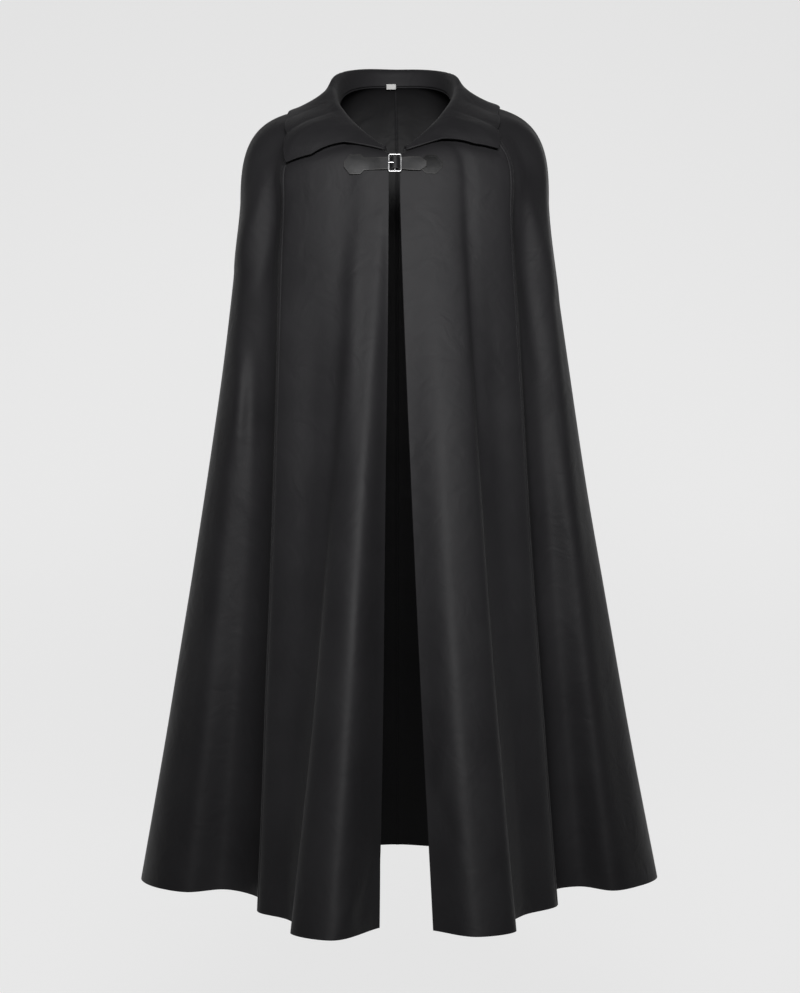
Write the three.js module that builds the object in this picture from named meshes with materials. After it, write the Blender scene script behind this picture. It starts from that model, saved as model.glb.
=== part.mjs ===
// A long wool cloak, filled out as when it is worn, with a turned-down collar and a leather clasp.
// Millimetres, +Z up. The wearer faces -Y, so the wearer's right is at -X and the left at +X.
// The origin is on the neck's axis, level with the shoulders, where the wearer's shoulders carry it.

import * as THREE from "three";

// Wall thicknesses and the gap that parts neighbouring pieces
const CLOTH = 2;
const COLLAR_CLOTH = 3;
const LEATHER = 2;
const FOLD_LEATHER = 1;
const GAP = 0.3;

// The collar's foot stands this far off the neck seam's cloth, because both are faceted
const COLLAR_FOOT = 0.8;

// The hem's depth below the origin, and the chest line's, where the skirt starts to flare
const HEM_DROP = 1300;
const CHEST_DROP = 170;

// Chest line in plan: half width, reach to the front and to the back, and how square it is
const CHEST = { halfWidth: 256, front: 140, back: 150, power: 0.91 };

// Neck seam: its middle, its plan, and the height of its front, side and back above the origin; the
// left side is a little higher
const NECK = { middle: -3, halfWidth: 92, front: 113, back: 92, frontRise: -108, backRise: 45 };
const NECK_SIDE_RISE = { right: -10, left: -3 };

// How late the neck seam rises from the front to the side, and how early from the side to the back
const FRONT_RISE_POWER = 1.1;
const BACK_RISE_POWER = 2.4;

// The neck seam opens by this many degrees more than the chest line does, at the front edge
const NECK_SPREAD = 5;

// How square the cloth is from the neck seam to the chest line, 1 being a quarter round, on its way
// out and on its way down: over each shoulder and its front, and over the back, with the turns between
// which it changes
const SHOULDER = {
  right: { out: 0.59, fall: 0.66 },
  left: { out: 0.58, fall: 0.66 },
  back: { out: 1.15, fall: 1.15 },
};
const BACK_TURN = { from: 80, to: 112 };

// How late the skirt flares: 1 is a straight cone
const FLARE_POWER = 1.2;

// Way round each half of the cloak, from the open front edge to the centre back seam: the turn of the
// chest line there in degrees, how far the cloth is drawn in at the chest, and the hem's place in plan,
// out from the middle and back from the neck's axis
const WAY_ROUND = {
  right: [
    { at: "front edge", turn: 2.1, drawnIn: 0, hemOut: 26, hemBack: -264 },
    { at: "front crest", turn: 5.5, drawnIn: 0, hemOut: 98, hemBack: -344 },
    { at: "front fold edge", turn: 10.5, drawnIn: 0, hemOut: 156, hemBack: -302 },
    { at: "front fold inside", turn: 17, drawnIn: 2, hemOut: 150, hemBack: -250 },
    { at: "front fold foot", turn: 24, drawnIn: 0, hemOut: 166, hemBack: -212 },
    { at: "front seam", turn: 43, drawnIn: 0, hemOut: 217, hemBack: -159 },
    { at: "seam fold inside", turn: 47, drawnIn: 8, hemOut: 214, hemBack: -102 },
    { at: "seam fold foot", turn: 51, drawnIn: 14, hemOut: 230, hemBack: -46 },
    { at: "side trough", turn: 58, drawnIn: 16, hemOut: 288, hemBack: 5 },
    { at: "side ridge", turn: 70, drawnIn: 2, hemOut: 345, hemBack: -17 },
    { at: "side shoulder", turn: 78, drawnIn: 0, hemOut: 388, hemBack: 8 },
    { at: "widest side", turn: 92, drawnIn: 0, hemOut: 434, hemBack: 90 },
    { at: "side seam", turn: 102, drawnIn: 3, hemOut: 428, hemBack: 150 },
    { at: "back trough", turn: 114, drawnIn: 6, hemOut: 384, hemBack: 190 },
    { at: "back ridge", turn: 127, drawnIn: 0, hemOut: 372, hemBack: 268 },
    { at: "back hollow", turn: 142, drawnIn: 4, hemOut: 270, hemBack: 290 },
    { at: "inner ridge", turn: 155, drawnIn: 0, hemOut: 206, hemBack: 370 },
    { at: "inner hollow", turn: 167, drawnIn: 3, hemOut: 106, hemBack: 362 },
    { at: "centre back", turn: 180, drawnIn: 0, hemOut: 0, hemBack: 392 },
  ],
  left: [
    { at: "front edge", turn: 0.7, drawnIn: 0, hemOut: 55, hemBack: -281 },
    { at: "front crest", turn: 10, drawnIn: 0, hemOut: 118, hemBack: -322 },
    { at: "front fold edge", turn: 19.5, drawnIn: 0, hemOut: 176, hemBack: -291 },
    { at: "front fold inside", turn: 24, drawnIn: 3, hemOut: 174, hemBack: -230 },
    { at: "front fold foot", turn: 29, drawnIn: 0, hemOut: 196, hemBack: -184 },
    { at: "front seam", turn: 43, drawnIn: 0, hemOut: 254, hemBack: -117 },
    { at: "seam fold inside", turn: 47, drawnIn: 8, hemOut: 252, hemBack: -52 },
    { at: "seam fold foot", turn: 51, drawnIn: 12, hemOut: 266, hemBack: 8 },
    { at: "side trough", turn: 57, drawnIn: 14, hemOut: 304, hemBack: 26 },
    { at: "side ridge", turn: 69, drawnIn: 2, hemOut: 356, hemBack: -7 },
    { at: "side shoulder", turn: 78, drawnIn: 5, hemOut: 404, hemBack: 30 },
    { at: "widest side", turn: 92, drawnIn: 6, hemOut: 443, hemBack: 104 },
    { at: "side seam", turn: 102, drawnIn: 6, hemOut: 433, hemBack: 162 },
    { at: "back trough", turn: 115, drawnIn: 6, hemOut: 376, hemBack: 198 },
    { at: "back ridge", turn: 129, drawnIn: 0, hemOut: 352, hemBack: 284 },
    { at: "back hollow", turn: 145, drawnIn: 4, hemOut: 256, hemBack: 298 },
    { at: "inner ridge", turn: 157, drawnIn: 0, hemOut: 188, hemBack: 378 },
    { at: "inner hollow", turn: 168, drawnIn: 3, hemOut: 96, hemBack: 366 },
    { at: "centre back", turn: 180, drawnIn: 0, hemOut: 0, hemBack: 392 },
  ],
};

// Panels of each half, from one line of the way round to the next
const PANELS = [
  { name: "front", from: "front edge", to: "front seam" },
  { name: "side", from: "front seam", to: "side seam" },
  { name: "back", from: "side seam", to: "centre back" },
];
const COLUMN_WIDTH = 24;
const SHOULDER_ROWS = 7;
const SKIRT_ROWS = 9;

// Collar: for each turn round the neck, the stand's height, and the leaf's reach as a share of the way
// from the neck seam to the chest line, the point being the longest
const COLLAR = {
  right: [
    { at: "clasp end", turn: 4, stand: 3, reach: 0.14, lift: 4 },
    { at: "notch", turn: 22, stand: 10, reach: 0.31, lift: 6 },
    { at: "front edge", turn: 31, stand: 13, reach: 0.67, lift: 6.5 },
    { at: "point", turn: 41.5, stand: 16.5, reach: 0.8, lift: 6 },
    { at: "outer edge", turn: 51, stand: 20, reach: 0.44, lift: 5 },
    { at: "shoulder front", turn: 68, stand: 24, reach: 0.26, lift: 4.5 },
    { at: "shoulder", turn: 92, stand: 31, reach: 0.17, lift: 5 },
    { at: "back quarter", turn: 130, stand: 28, reach: 0.3, lift: 5 },
    { at: "centre back", turn: 180, stand: 27, reach: 0.37, lift: 3.5 },
  ],
  left: [
    { at: "clasp end", turn: 4, stand: 3, reach: 0.14, lift: 4 },
    { at: "notch", turn: 22, stand: 10, reach: 0.2, lift: 6 },
    { at: "front edge", turn: 30, stand: 13, reach: 0.5, lift: 6.5 },
    { at: "point", turn: 39, stand: 16, reach: 0.64, lift: 6 },
    { at: "outer edge", turn: 49, stand: 20, reach: 0.36, lift: 5 },
    { at: "shoulder front", turn: 68, stand: 23, reach: 0.2, lift: 4.5 },
    { at: "shoulder", turn: 92, stand: 28, reach: 0.17, lift: 5 },
    { at: "back quarter", turn: 130, stand: 25, reach: 0.3, lift: 3.5 },
    { at: "centre back", turn: 180, stand: 27, reach: 0.37, lift: 3.5 },
  ],
};
const COLLAR_COLUMN_TURN = 7;

// The stand leans out by this much where it is highest, and half way up by a share of it; the roll is
// half as wide as it is from the stand to the leaf, and rises by a share of that
const COLLAR_LEAN = 7;
const HALF_WAY_LEAN = 0.4;
const COLLAR_ROLL = 4;
const ROLL_RISE = 0.7;

// Rows of the leaf, closer together near the roll, and how soon it falls from the roll to the shoulders
const LEAF_ROWS = 6;
const LEAF_SPREAD = 1.6;
const LEAF_FALL = 1.5;

// Clasp: the height of its middle line above the origin, and how far from the buckle's middle it stays
// flat and is wholly bent to the cloth
const CLASP_RISE = -128;
const CLASP_FLAT = 16;
const CLASP_BENT = 46;

// Where the search for a place on the front's cloth starts, its rounds, its probes and longest steps
const SEARCH = { turn: 20, down: 0.4, rounds: 30 };
const PROBE = { turn: 0.1, down: 0.001 };
const LONGEST_STEP = { turn: 5, down: 0.1 };

// Buckle, seen square on: its middle, half width and half height, bars, thickness and place off the cloth
const BUCKLE = { x: -3, halfWidth: 11, halfHeight: 15.4, corner: 4, bar: 2.8, thickness: 2, lift: 4.9 };
const CORNER_STEPS = 5;
const MIDDLE_BAR = { half: 1.2, thickness: 2 };
const PRONG = { half: 1.3, thickness: 0.9, gap: 0.3, tip: 1, heelDrop: 0.4 };
const SLOT_HALF = 2.2;
const BUCKLE_CLEAR = 0.5;

// Rows of the strap and the tab, as shares of their half height, with the prong's slot in the middle
const CLASP_ROWS = [-1, -0.6, { exact: -SLOT_HALF }, { exact: SLOT_HALF }, 0.6, 1];
const SLOT_ROW = 2;

// Strap from its sewn end on the wearer's right to its tongue, as its place across, its middle's height
// off the cloth and its half height there; it dips under the outer bars and rides over the middle one
const STRAP = [
  { x: -83, lift: 1.6, half: 4 },
  { x: -79, lift: 1.6, half: 9 },
  { x: -74, lift: 1.6, half: 16.6 },
  { x: -66, lift: 1.6, half: 16.6 },
  { x: -57, lift: 1.6, half: 16.6 },
  { x: -52, lift: 1.6, half: 10.6 },
  { x: -44, lift: 1.7, half: 10.3 },
  { x: -35, lift: 2.2, half: 10.3 },
  { x: -26, lift: 3.1, half: 10.3 },
  { x: -17, lift: 3.6, half: 10.3 },
  { x: -11.7, lift: 3.4, half: 10.3 },
  { x: -9.2, lift: 4.6, half: 10.3 },
  { x: -7.2, lift: 8.1, half: 10.3 },
  { x: -5.2, lift: 9.6, half: 10.3 },
  { x: -0.8, lift: 9.6, half: 10.3 },
  { x: 1.2, lift: 8.1, half: 10.3 },
  { x: 3.2, lift: 4.6, half: 10.3 },
  { x: 5.7, lift: 3.4, half: 10.3 },
  { x: 12, lift: 3.6, half: 10.3 },
  { x: 20, lift: 3.6, half: 11.3 },
  { x: 28, lift: 3.6, half: 11.3 },
  { x: 36.5, lift: 3.6, half: 11.3 },
  { x: 42, lift: 3.6, half: 7.2 },
  { x: 46.5, lift: 3.6, half: 4 },
];
const STRAP_HOLE = { from: -9.3, to: -5.1 };

// Tab from its sewn end on the wearer's left to the buckle, where it folds round the middle bar
const TAB = [
  { x: 72, lift: 1.2, half: 4 },
  { x: 67.5, lift: 1.2, half: 9 },
  { x: 62, lift: 1.2, half: 15.8 },
  { x: 54, lift: 1.2, half: 15.8 },
  { x: 46, lift: 1.2, half: 15.8 },
  { x: 41, lift: 1.2, half: 10.4 },
  { x: 32, lift: 0.8, half: 10 },
  { x: 22, lift: 0.8, half: 10 },
  { x: 12, lift: 0.8, half: 10 },
  { x: 5, lift: 0.8, half: 10 },
];

// The fold's corners as shares of its size: its lower end, where it turns, and the flat of its side
const FOLD = { end: 0.8, turn: 0.6, side: 0.5 };

// Size tag: its middle across, its size, its top's height above the neck seam, and its columns as
// shares of its half width
const LABEL = { x: -10, halfWidth: 8, height: 9, thickness: 0.6, top: 5 };
const LABEL_COLUMNS = [-1, -0.33, 0.33, 1];

const WOOL = { color: 0x16151a, roughness: 0.95, metalness: 0 };
const BLACK_LEATHER = { color: 0x1a191b, roughness: 0.5, metalness: 0 };
const STEEL = { color: 0xb9babd, roughness: 0.28, metalness: 1 };
const TAG = { color: 0xd9d8d4, roughness: 0.9, metalness: 0 };

const radians = THREE.MathUtils.degToRad;
const mix = THREE.MathUtils.lerp;

// A share's own sign with its size raised to a power
function bend(share, power) {
  return Math.sign(share) * Math.abs(share) ** power;
}

// A smooth curve through values that stand at rising knots
function through(knots, values, at) {
  let i = 0;
  while (i < knots.length - 2 && at > knots[i + 1]) i += 1;
  const slope = (a) => (values[a + 1] - values[a]) / (knots[a + 1] - knots[a]);
  const tangent = (a) => {
    if (a === 0) return slope(0);
    if (a === knots.length - 1) return slope(a - 1);
    const before = knots[a] - knots[a - 1];
    const after = knots[a + 1] - knots[a];
    return (slope(a - 1) * after + slope(a) * before) / (before + after);
  };
  const span = knots[i + 1] - knots[i];
  const t = (at - knots[i]) / span;
  const rise = t * t * (3 - 2 * t);
  return (
    values[i] * (1 - rise) +
    values[i + 1] * rise +
    span * (t * (1 - t) ** 2 * tangent(i) - t * t * (1 - t) * tangent(i + 1))
  );
}

// Point of the neck seam at a turn round the neck
function neckPoint(sign, turn) {
  const sideRise = sign < 0 ? NECK_SIDE_RISE.right : NECK_SIDE_RISE.left;
  const front = Math.cos(radians(turn)) > 0;
  const spread = front ? NECK_SPREAD * Math.cos(radians(turn)) ** 2 : 0;
  const own = radians(turn + spread);
  const reach = front ? NECK.front : NECK.back;
  const rise = front
    ? mix(NECK.frontRise, sideRise, (Math.max(turn, 0) / 90) ** FRONT_RISE_POWER)
    : mix(NECK.backRise, sideRise, (Math.abs(180 - turn) / 90) ** BACK_RISE_POWER);
  const x = NECK.middle + sign * NECK.halfWidth * Math.sin(own);
  return new THREE.Vector3(x, -reach * Math.cos(own), rise);
}

// Point of the chest line at a turn round the body, drawn in towards the middle
function chestPoint(sign, turn, drawnIn = 0) {
  const across = bend(Math.sin(radians(turn)), CHEST.power);
  const along = bend(Math.cos(radians(turn)), CHEST.power);
  const reach = along > 0 ? CHEST.front : CHEST.back;
  const point = new THREE.Vector3(sign * CHEST.halfWidth * across, -reach * along, 0);
  point.setLength(point.length() - drawnIn);
  point.z = -CHEST_DROP;
  return point;
}

// Point of the shoulders, from the neck seam at 0 to the chest line at 1
function shoulderPoint(sign, turn, down, drawnIn = 0) {
  const neck = neckPoint(sign, turn);
  const chest = chestPoint(sign, turn, drawnIn);
  const share = THREE.MathUtils.smoothstep(turn, BACK_TURN.from, BACK_TURN.to);
  const front = sign < 0 ? SHOULDER.right : SHOULDER.left;
  const power = (way) => mix(front[way], SHOULDER.back[way], share);
  const out = bend(Math.sin((down * Math.PI) / 2), power("out"));
  const fall = 1 - bend(Math.cos((down * Math.PI) / 2), power("fall"));
  return new THREE.Vector3(
    mix(neck.x, chest.x, out),
    mix(neck.y, chest.y, out),
    mix(neck.z, chest.z, fall),
  );
}

// One half of the cloak: its columns of the table, and the hem's length at each row
function makeHalf(name, sign) {
  const table = WAY_ROUND[name];
  const beside = table.at(-2);
  const mirrored = { ...beside, at: "other half", turn: 360 - beside.turn, hemOut: -beside.hemOut };
  const rows = [...table, mirrored];
  const knots = [0];
  for (let i = 1; i < rows.length; i += 1) {
    const step = Math.hypot(rows[i].hemOut - rows[i - 1].hemOut, rows[i].hemBack - rows[i - 1].hemBack);
    knots.push(knots[i - 1] + step);
  }
  const column = (key) => rows.map((row) => row[key]);
  const place = (at) => knots[rows.findIndex((row) => row.at === at)];
  const turns = column("turn");
  const drawn = column("drawnIn");
  const outs = column("hemOut");
  const backs = column("hemBack");

  // Mid-wall point: along is the way along the hem, down is 0 at the neck, 1 at the chest, 2 at the hem
  function point(along, down) {
    const turn = through(knots, turns, along);
    const drawnIn = through(knots, drawn, along);
    if (down <= 1) return shoulderPoint(sign, turn, down, drawnIn);
    const chest = chestPoint(sign, turn, drawnIn);
    const flare = (down - 1) ** FLARE_POWER;
    return new THREE.Vector3(
      mix(chest.x, sign * through(knots, outs, along), flare),
      mix(chest.y, through(knots, backs, along), flare),
      mix(-CHEST_DROP, -HEM_DROP, down - 1),
    );
  }
  return { name, sign, place, point };
}

// Directions at a point of a half: along the hem, and out of the cloth
function directions(half, along, down) {
  const step = 0.01;
  const across = half.point(along + 1, down).sub(half.point(along - 1, down)).normalize();
  const low = half.point(along, Math.min(down + step, 2));
  const high = half.point(along, Math.max(down - step, 0));
  const fall = low.sub(high).normalize();
  const out = new THREE.Vector3().crossVectors(fall, across).multiplyScalar(half.sign).normalize();
  return { across, out };
}

// A closed wall between an outer and an inner grid of points; has says which cells are there
function wall(outer, inner, has = () => true) {
  const rows = outer.length;
  const columns = outer[0].length;
  const index = [];
  const number = (layer, r, c) => (layer * rows + r) * columns + c;
  const quad = (a, b, c, d) => index.push(a, b, c, a, c, d);
  const there = (r, c) => r >= 0 && c >= 0 && r < rows - 1 && c < columns - 1 && has(r, c);
  for (let r = 0; r < rows - 1; r += 1) {
    for (let c = 0; c < columns - 1; c += 1) {
      if (!there(r, c)) continue;
      const top = (a, b) => number(0, r + a, c + b);
      const under = (a, b) => number(1, r + a, c + b);
      quad(top(0, 0), top(1, 0), top(1, 1), top(0, 1));
      quad(under(0, 0), under(0, 1), under(1, 1), under(1, 0));
      if (!there(r - 1, c)) quad(top(0, 0), top(0, 1), under(0, 1), under(0, 0));
      if (!there(r + 1, c)) quad(top(1, 1), top(1, 0), under(1, 0), under(1, 1));
      if (!there(r, c - 1)) quad(top(1, 0), top(0, 0), under(0, 0), under(1, 0));
      if (!there(r, c + 1)) quad(top(0, 1), top(1, 1), under(1, 1), under(0, 1));
    }
  }
  return solid([...outer, ...inner].flat(), index);
}

// A mesh from points and triangles, without unused points, turned so that its faces point out
function solid(points, index) {
  const used = [...new Set(index)].sort((a, b) => a - b);
  const renumber = new Map(used.map((old, i) => [old, i]));
  const faces = index.map((i) => renumber.get(i));
  const kept = used.map((i) => points[i]);
  let volume = 0;
  for (let i = 0; i < faces.length; i += 3) {
    const [a, b, c] = faces.slice(i, i + 3).map((j) => kept[j]);
    volume += a.dot(new THREE.Vector3().crossVectors(b, c));
  }
  if (volume < 0) faces.reverse();
  const geometry = new THREE.BufferGeometry().setFromPoints(kept);
  geometry.setIndex(faces);
  return geometry;
}

const cloak = new THREE.Group();

function addPiece(name, geometry, finish) {
  const mesh = new THREE.Mesh(geometry, new THREE.MeshStandardMaterial(finish));
  mesh.name = name;
  cloak.add(mesh);
  return mesh;
}

// Sewn panels of one half, half a gap short of each seam
function addPanels(half) {
  const downs = [];
  for (let r = 0; r <= SHOULDER_ROWS; r += 1) downs.push(r / SHOULDER_ROWS);
  for (let r = 1; r <= SKIRT_ROWS; r += 1) downs.push(1 + r / SKIRT_ROWS);
  for (const panel of PANELS) {
    const start = half.place(panel.from);
    const end = half.place(panel.to);
    const count = Math.ceil((end - start) / COLUMN_WIDTH);
    const outer = [];
    const inner = [];
    for (const down of downs) {
      const outerRow = [];
      const innerRow = [];
      for (let c = 0; c <= count; c += 1) {
        const along = mix(start, end, c / count);
        const { across, out } = directions(half, along, down);
        const middle = half.point(along, down);
        if (c === 0) middle.addScaledVector(across, GAP / 2);
        if (c === count) middle.addScaledVector(across, -GAP / 2);
        outerRow.push(middle.clone().addScaledVector(out, CLOTH / 2));
        innerRow.push(middle.clone().addScaledVector(out, -CLOTH / 2));
      }
      outer.push(outerRow);
      inner.push(innerRow);
    }
    addPiece(`${panel.name}_${half.name}`, wall(outer, inner), WOOL);
  }
}

// Direction out of the shoulders' cloth
function shoulderNormal(sign, turn, down) {
  const step = 0.01;
  const across = shoulderPoint(sign, turn + 1, down).sub(shoulderPoint(sign, turn - 1, down));
  const low = shoulderPoint(sign, turn, down + step);
  const fall = low.sub(shoulderPoint(sign, turn, Math.max(down - step, 0)));
  return new THREE.Vector3().crossVectors(fall, across).multiplyScalar(sign).normalize();
}

// Middle line of the collar at one turn: up the stand, over the roll and out along the leaf
function collarLine(sign, turn, { stand, reach, lift }) {
  const neck = neckPoint(sign, turn);
  const out = chestPoint(sign, turn).sub(neck).setZ(0).normalize();
  const up = new THREE.Vector3(0, 0, 1);
  const foot = neck.clone().addScaledVector(shoulderNormal(sign, turn, 0), CLOTH / 2 + COLLAR_FOOT);
  const place = (away, rise) => foot.clone().addScaledVector(out, away).addScaledVector(up, rise);
  const lean = (COLLAR_LEAN * stand) / COLLAR.right.at(-1).stand;
  const inside = COLLAR_CLOTH / 2;
  const line = [
    place(inside, 0),
    place(inside + lean * HALF_WAY_LEAN, stand / 2),
    place(inside + lean, stand),
    place(inside + lean + COLLAR_ROLL, stand + COLLAR_ROLL * ROLL_RISE),
  ];
  const rollEnd = inside + lean + 2 * COLLAR_ROLL;
  for (let i = 1; i <= LEAF_ROWS; i += 1) {
    const share = i / LEAF_ROWS;
    const rest = (1 - share) ** LEAF_FALL;
    const down = reach * share ** LEAF_SPREAD;
    const away = up.clone().lerp(shoulderNormal(sign, turn, down), share).normalize();
    line.push(
      shoulderPoint(sign, turn, down)
        .addScaledVector(out, rollEnd * rest)
        .addScaledVector(away, lift + stand * rest),
    );
  }
  return line;
}

// The collar, one piece from the clasp round the back to the clasp
function addCollar() {
  const lines = [];
  for (const [name, sign] of [["right", -1], ["left", 1]]) {
    const rows = COLLAR[name];
    const turns = rows.map((row) => row.turn);
    const half = [];
    rows.slice(1).forEach((row, i) => {
      const from = rows[i];
      const count = Math.ceil((row.turn - from.turn) / COLLAR_COLUMN_TURN);
      for (let c = i === 0 ? 0 : 1; c <= count; c += 1) {
        const share = c / count;
        const turn = mix(from.turn, row.turn, share);
        const stand = through(turns, rows.map((r) => r.stand), turn);
        const lift = mix(from.lift, row.lift, share);
        half.push(collarLine(sign, turn, { stand, reach: mix(from.reach, row.reach, share), lift }));
      }
    });
    if (sign > 0) lines.push(...half.reverse().slice(1));
    else lines.push(...half);
  }
  const outer = [];
  const inner = [];
  const last = (list) => list.length - 1;
  lines.forEach((line, c) => {
    const before = lines[Math.max(c - 1, 0)];
    const after = lines[Math.min(c + 1, last(lines))];
    outer.push([]);
    inner.push([]);
    line.forEach((middle, r) => {
      const round = after[r].clone().sub(before[r]);
      const along = line[Math.min(r + 1, last(line))].clone().sub(line[Math.max(r - 1, 0)]);
      const out = new THREE.Vector3().crossVectors(along, round).normalize();
      outer[c].push(middle.clone().addScaledVector(out, COLLAR_CLOTH / 2));
      inner[c].push(middle.clone().addScaledVector(out, -COLLAR_CLOTH / 2));
    });
  });
  addPiece("collar", wall(outer, inner), WOOL);
}

// Place on the front's mid-wall at a height and a way across, found by closing in on it
function frontPlace(x, z) {
  const sign = x < 0 ? -1 : 1;
  let { turn, down } = SEARCH;
  const step = (size, longest) => THREE.MathUtils.clamp(size, -longest, longest);
  for (let i = 0; i < SEARCH.rounds; i += 1) {
    const here = shoulderPoint(sign, turn, down);
    const byTurn = shoulderPoint(sign, turn + PROBE.turn, down).sub(here).divideScalar(PROBE.turn);
    const byDown = shoulderPoint(sign, turn, down + PROBE.down).sub(here).divideScalar(PROBE.down);
    const missX = x - here.x;
    const missZ = z - here.z;
    const whole = byTurn.x * byDown.z - byDown.x * byTurn.z;
    turn += step((missX * byDown.z - missZ * byDown.x) / whole, LONGEST_STEP.turn);
    down += step((missZ * byTurn.x - missX * byTurn.z) / whole, LONGEST_STEP.down);
  }
  const point = shoulderPoint(sign, turn, down);
  const up = point.clone().sub(shoulderPoint(sign, turn, down + PROBE.down)).normalize();
  return { point, out: shoulderNormal(sign, turn, down), up };
}

// Flat plane of the buckle, just clear of the cloth on both sides of the opening
function bucklePlane() {
  const left = frontPlace(BUCKLE.x - BUCKLE.halfWidth, CLASP_RISE);
  const right = frontPlace(BUCKLE.x + BUCKLE.halfWidth, CLASP_RISE);
  const across = right.point.clone().sub(left.point).normalize();
  const upward = left.up.clone().add(right.up);
  const out = new THREE.Vector3().crossVectors(across, upward).normalize();
  const up = new THREE.Vector3().crossVectors(out, across);
  const middle = left.point.clone().add(right.point).multiplyScalar(0.5);
  middle.addScaledVector(out, CLOTH / 2 + BUCKLE_CLEAR);
  return { middle, across, up, out };
}

// Point of the clasp: x across, up along the cloth from its middle line, lift off the cloth's face;
// round the buckle it stays flat, and its sewn ends follow the cloth
function claspPoint(x, up, lift) {
  const plane = bucklePlane();
  const flat = plane.middle.clone().addScaledVector(plane.across, x - BUCKLE.x);
  flat.addScaledVector(plane.up, up).addScaledVector(plane.out, lift);
  const share = THREE.MathUtils.smoothstep(Math.abs(x - BUCKLE.x), CLASP_FLAT, CLASP_BENT);
  if (share === 0) return flat;
  const { out, up: upward } = frontPlace(x, CLASP_RISE);
  const bent = frontPlace(x, CLASP_RISE + up * upward.z).point.addScaledVector(out, CLOTH / 2 + lift);
  return flat.lerp(bent, share);
}

// A leather or metal ribbon whose middle line runs across and off the cloth, with a half height at
// each point; has leaves cells out
function ribbon(path, thickness, has) {
  const outer = CLASP_ROWS.map(() => []);
  const inner = CLASP_ROWS.map(() => []);
  path.forEach((here, c) => {
    const before = path[Math.max(c - 1, 0)];
    const after = path[Math.min(c + 1, path.length - 1)];
    const run = Math.hypot(after.x - before.x, after.lift - before.lift);
    const shiftX = ((before.lift - after.lift) / run) * (thickness / 2);
    const shiftLift = ((after.x - before.x) / run) * (thickness / 2);
    CLASP_ROWS.forEach((share, r) => {
      const up = typeof share === "number" ? share * here.half : share.exact;
      outer[r].push(claspPoint(here.x + shiftX, up, here.lift + shiftLift));
      inner[r].push(claspPoint(here.x - shiftX, up, here.lift - shiftLift));
    });
  });
  return wall(outer, inner, has);
}

// The strap, with a hole behind the outer bar for the prong
function addStrap() {
  const inHole = (c) => STRAP[c].x >= STRAP_HOLE.from && STRAP[c + 1].x <= STRAP_HOLE.to;
  addPiece("clasp_strap", ribbon(STRAP, LEATHER, (r, c) => !(r === SLOT_ROW && inHole(c))), BLACK_LEATHER);
}

// The tab, folded back over the middle bar and sewn down on itself, open at its middle for the prong
function addTab() {
  const wrap = MIDDLE_BAR.half + GAP + FOLD_LEATHER / 2;
  const middle = BUCKLE.lift + MIDDLE_BAR.thickness / 2;
  const rise = MIDDLE_BAR.thickness / 2 + GAP + FOLD_LEATHER / 2;
  const flat = { half: TAB.at(-1).half };
  const fold = [
    { x: BUCKLE.x + wrap * FOLD.end, lift: middle - rise, ...flat },
    { x: BUCKLE.x - wrap * FOLD.turn, lift: middle - rise, ...flat },
    { x: BUCKLE.x - wrap, lift: middle - rise * FOLD.side, ...flat },
    { x: BUCKLE.x - wrap, lift: middle + rise * FOLD.side, ...flat },
    { x: BUCKLE.x - wrap * FOLD.turn, lift: middle + rise, ...flat },
    { x: BUCKLE.x + wrap * FOLD.turn, lift: middle + rise, ...flat },
  ];
  const path = [...TAB, ...fold].reverse();
  const open = (r, c) => r === SLOT_ROW && c < fold.length;
  addPiece("clasp_tab", ribbon(path, FOLD_LEATHER, (r, c) => !open(r, c)), BLACK_LEATHER);
}

// Buckle frame: a rounded frame with a bar across its middle
function addBuckle() {
  const { halfWidth, halfHeight, corner, bar, thickness, lift } = BUCKLE;
  const box = (shape, left, low, right, high, round) => {
    shape.moveTo(left + round, low);
    shape.lineTo(right - round, low);
    shape.absarc(right - round, low + round, round, -Math.PI / 2, 0, false);
    shape.lineTo(right, high - round);
    shape.absarc(right - round, high - round, round, 0, Math.PI / 2, false);
    shape.lineTo(left + round, high);
    shape.absarc(left + round, high - round, round, Math.PI / 2, Math.PI, false);
    shape.lineTo(left, low + round);
    shape.absarc(left + round, low + round, round, Math.PI, Math.PI * 1.5, false);
    return shape;
  };
  const frame = box(new THREE.Shape(), -halfWidth, -halfHeight, halfWidth, halfHeight, corner);
  const side = halfWidth - bar;
  const end = halfHeight - bar;
  const inner = corner - bar;
  frame.holes.push(box(new THREE.Path(), -side, -end, -MIDDLE_BAR.half, end, inner));
  frame.holes.push(box(new THREE.Path(), MIDDLE_BAR.half, -end, side, end, inner));
  const depth = { depth: thickness, bevelEnabled: false, curveSegments: CORNER_STEPS };
  addOnClasp("buckle_frame", new THREE.ExtrudeGeometry(frame, depth), lift);
}

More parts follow.
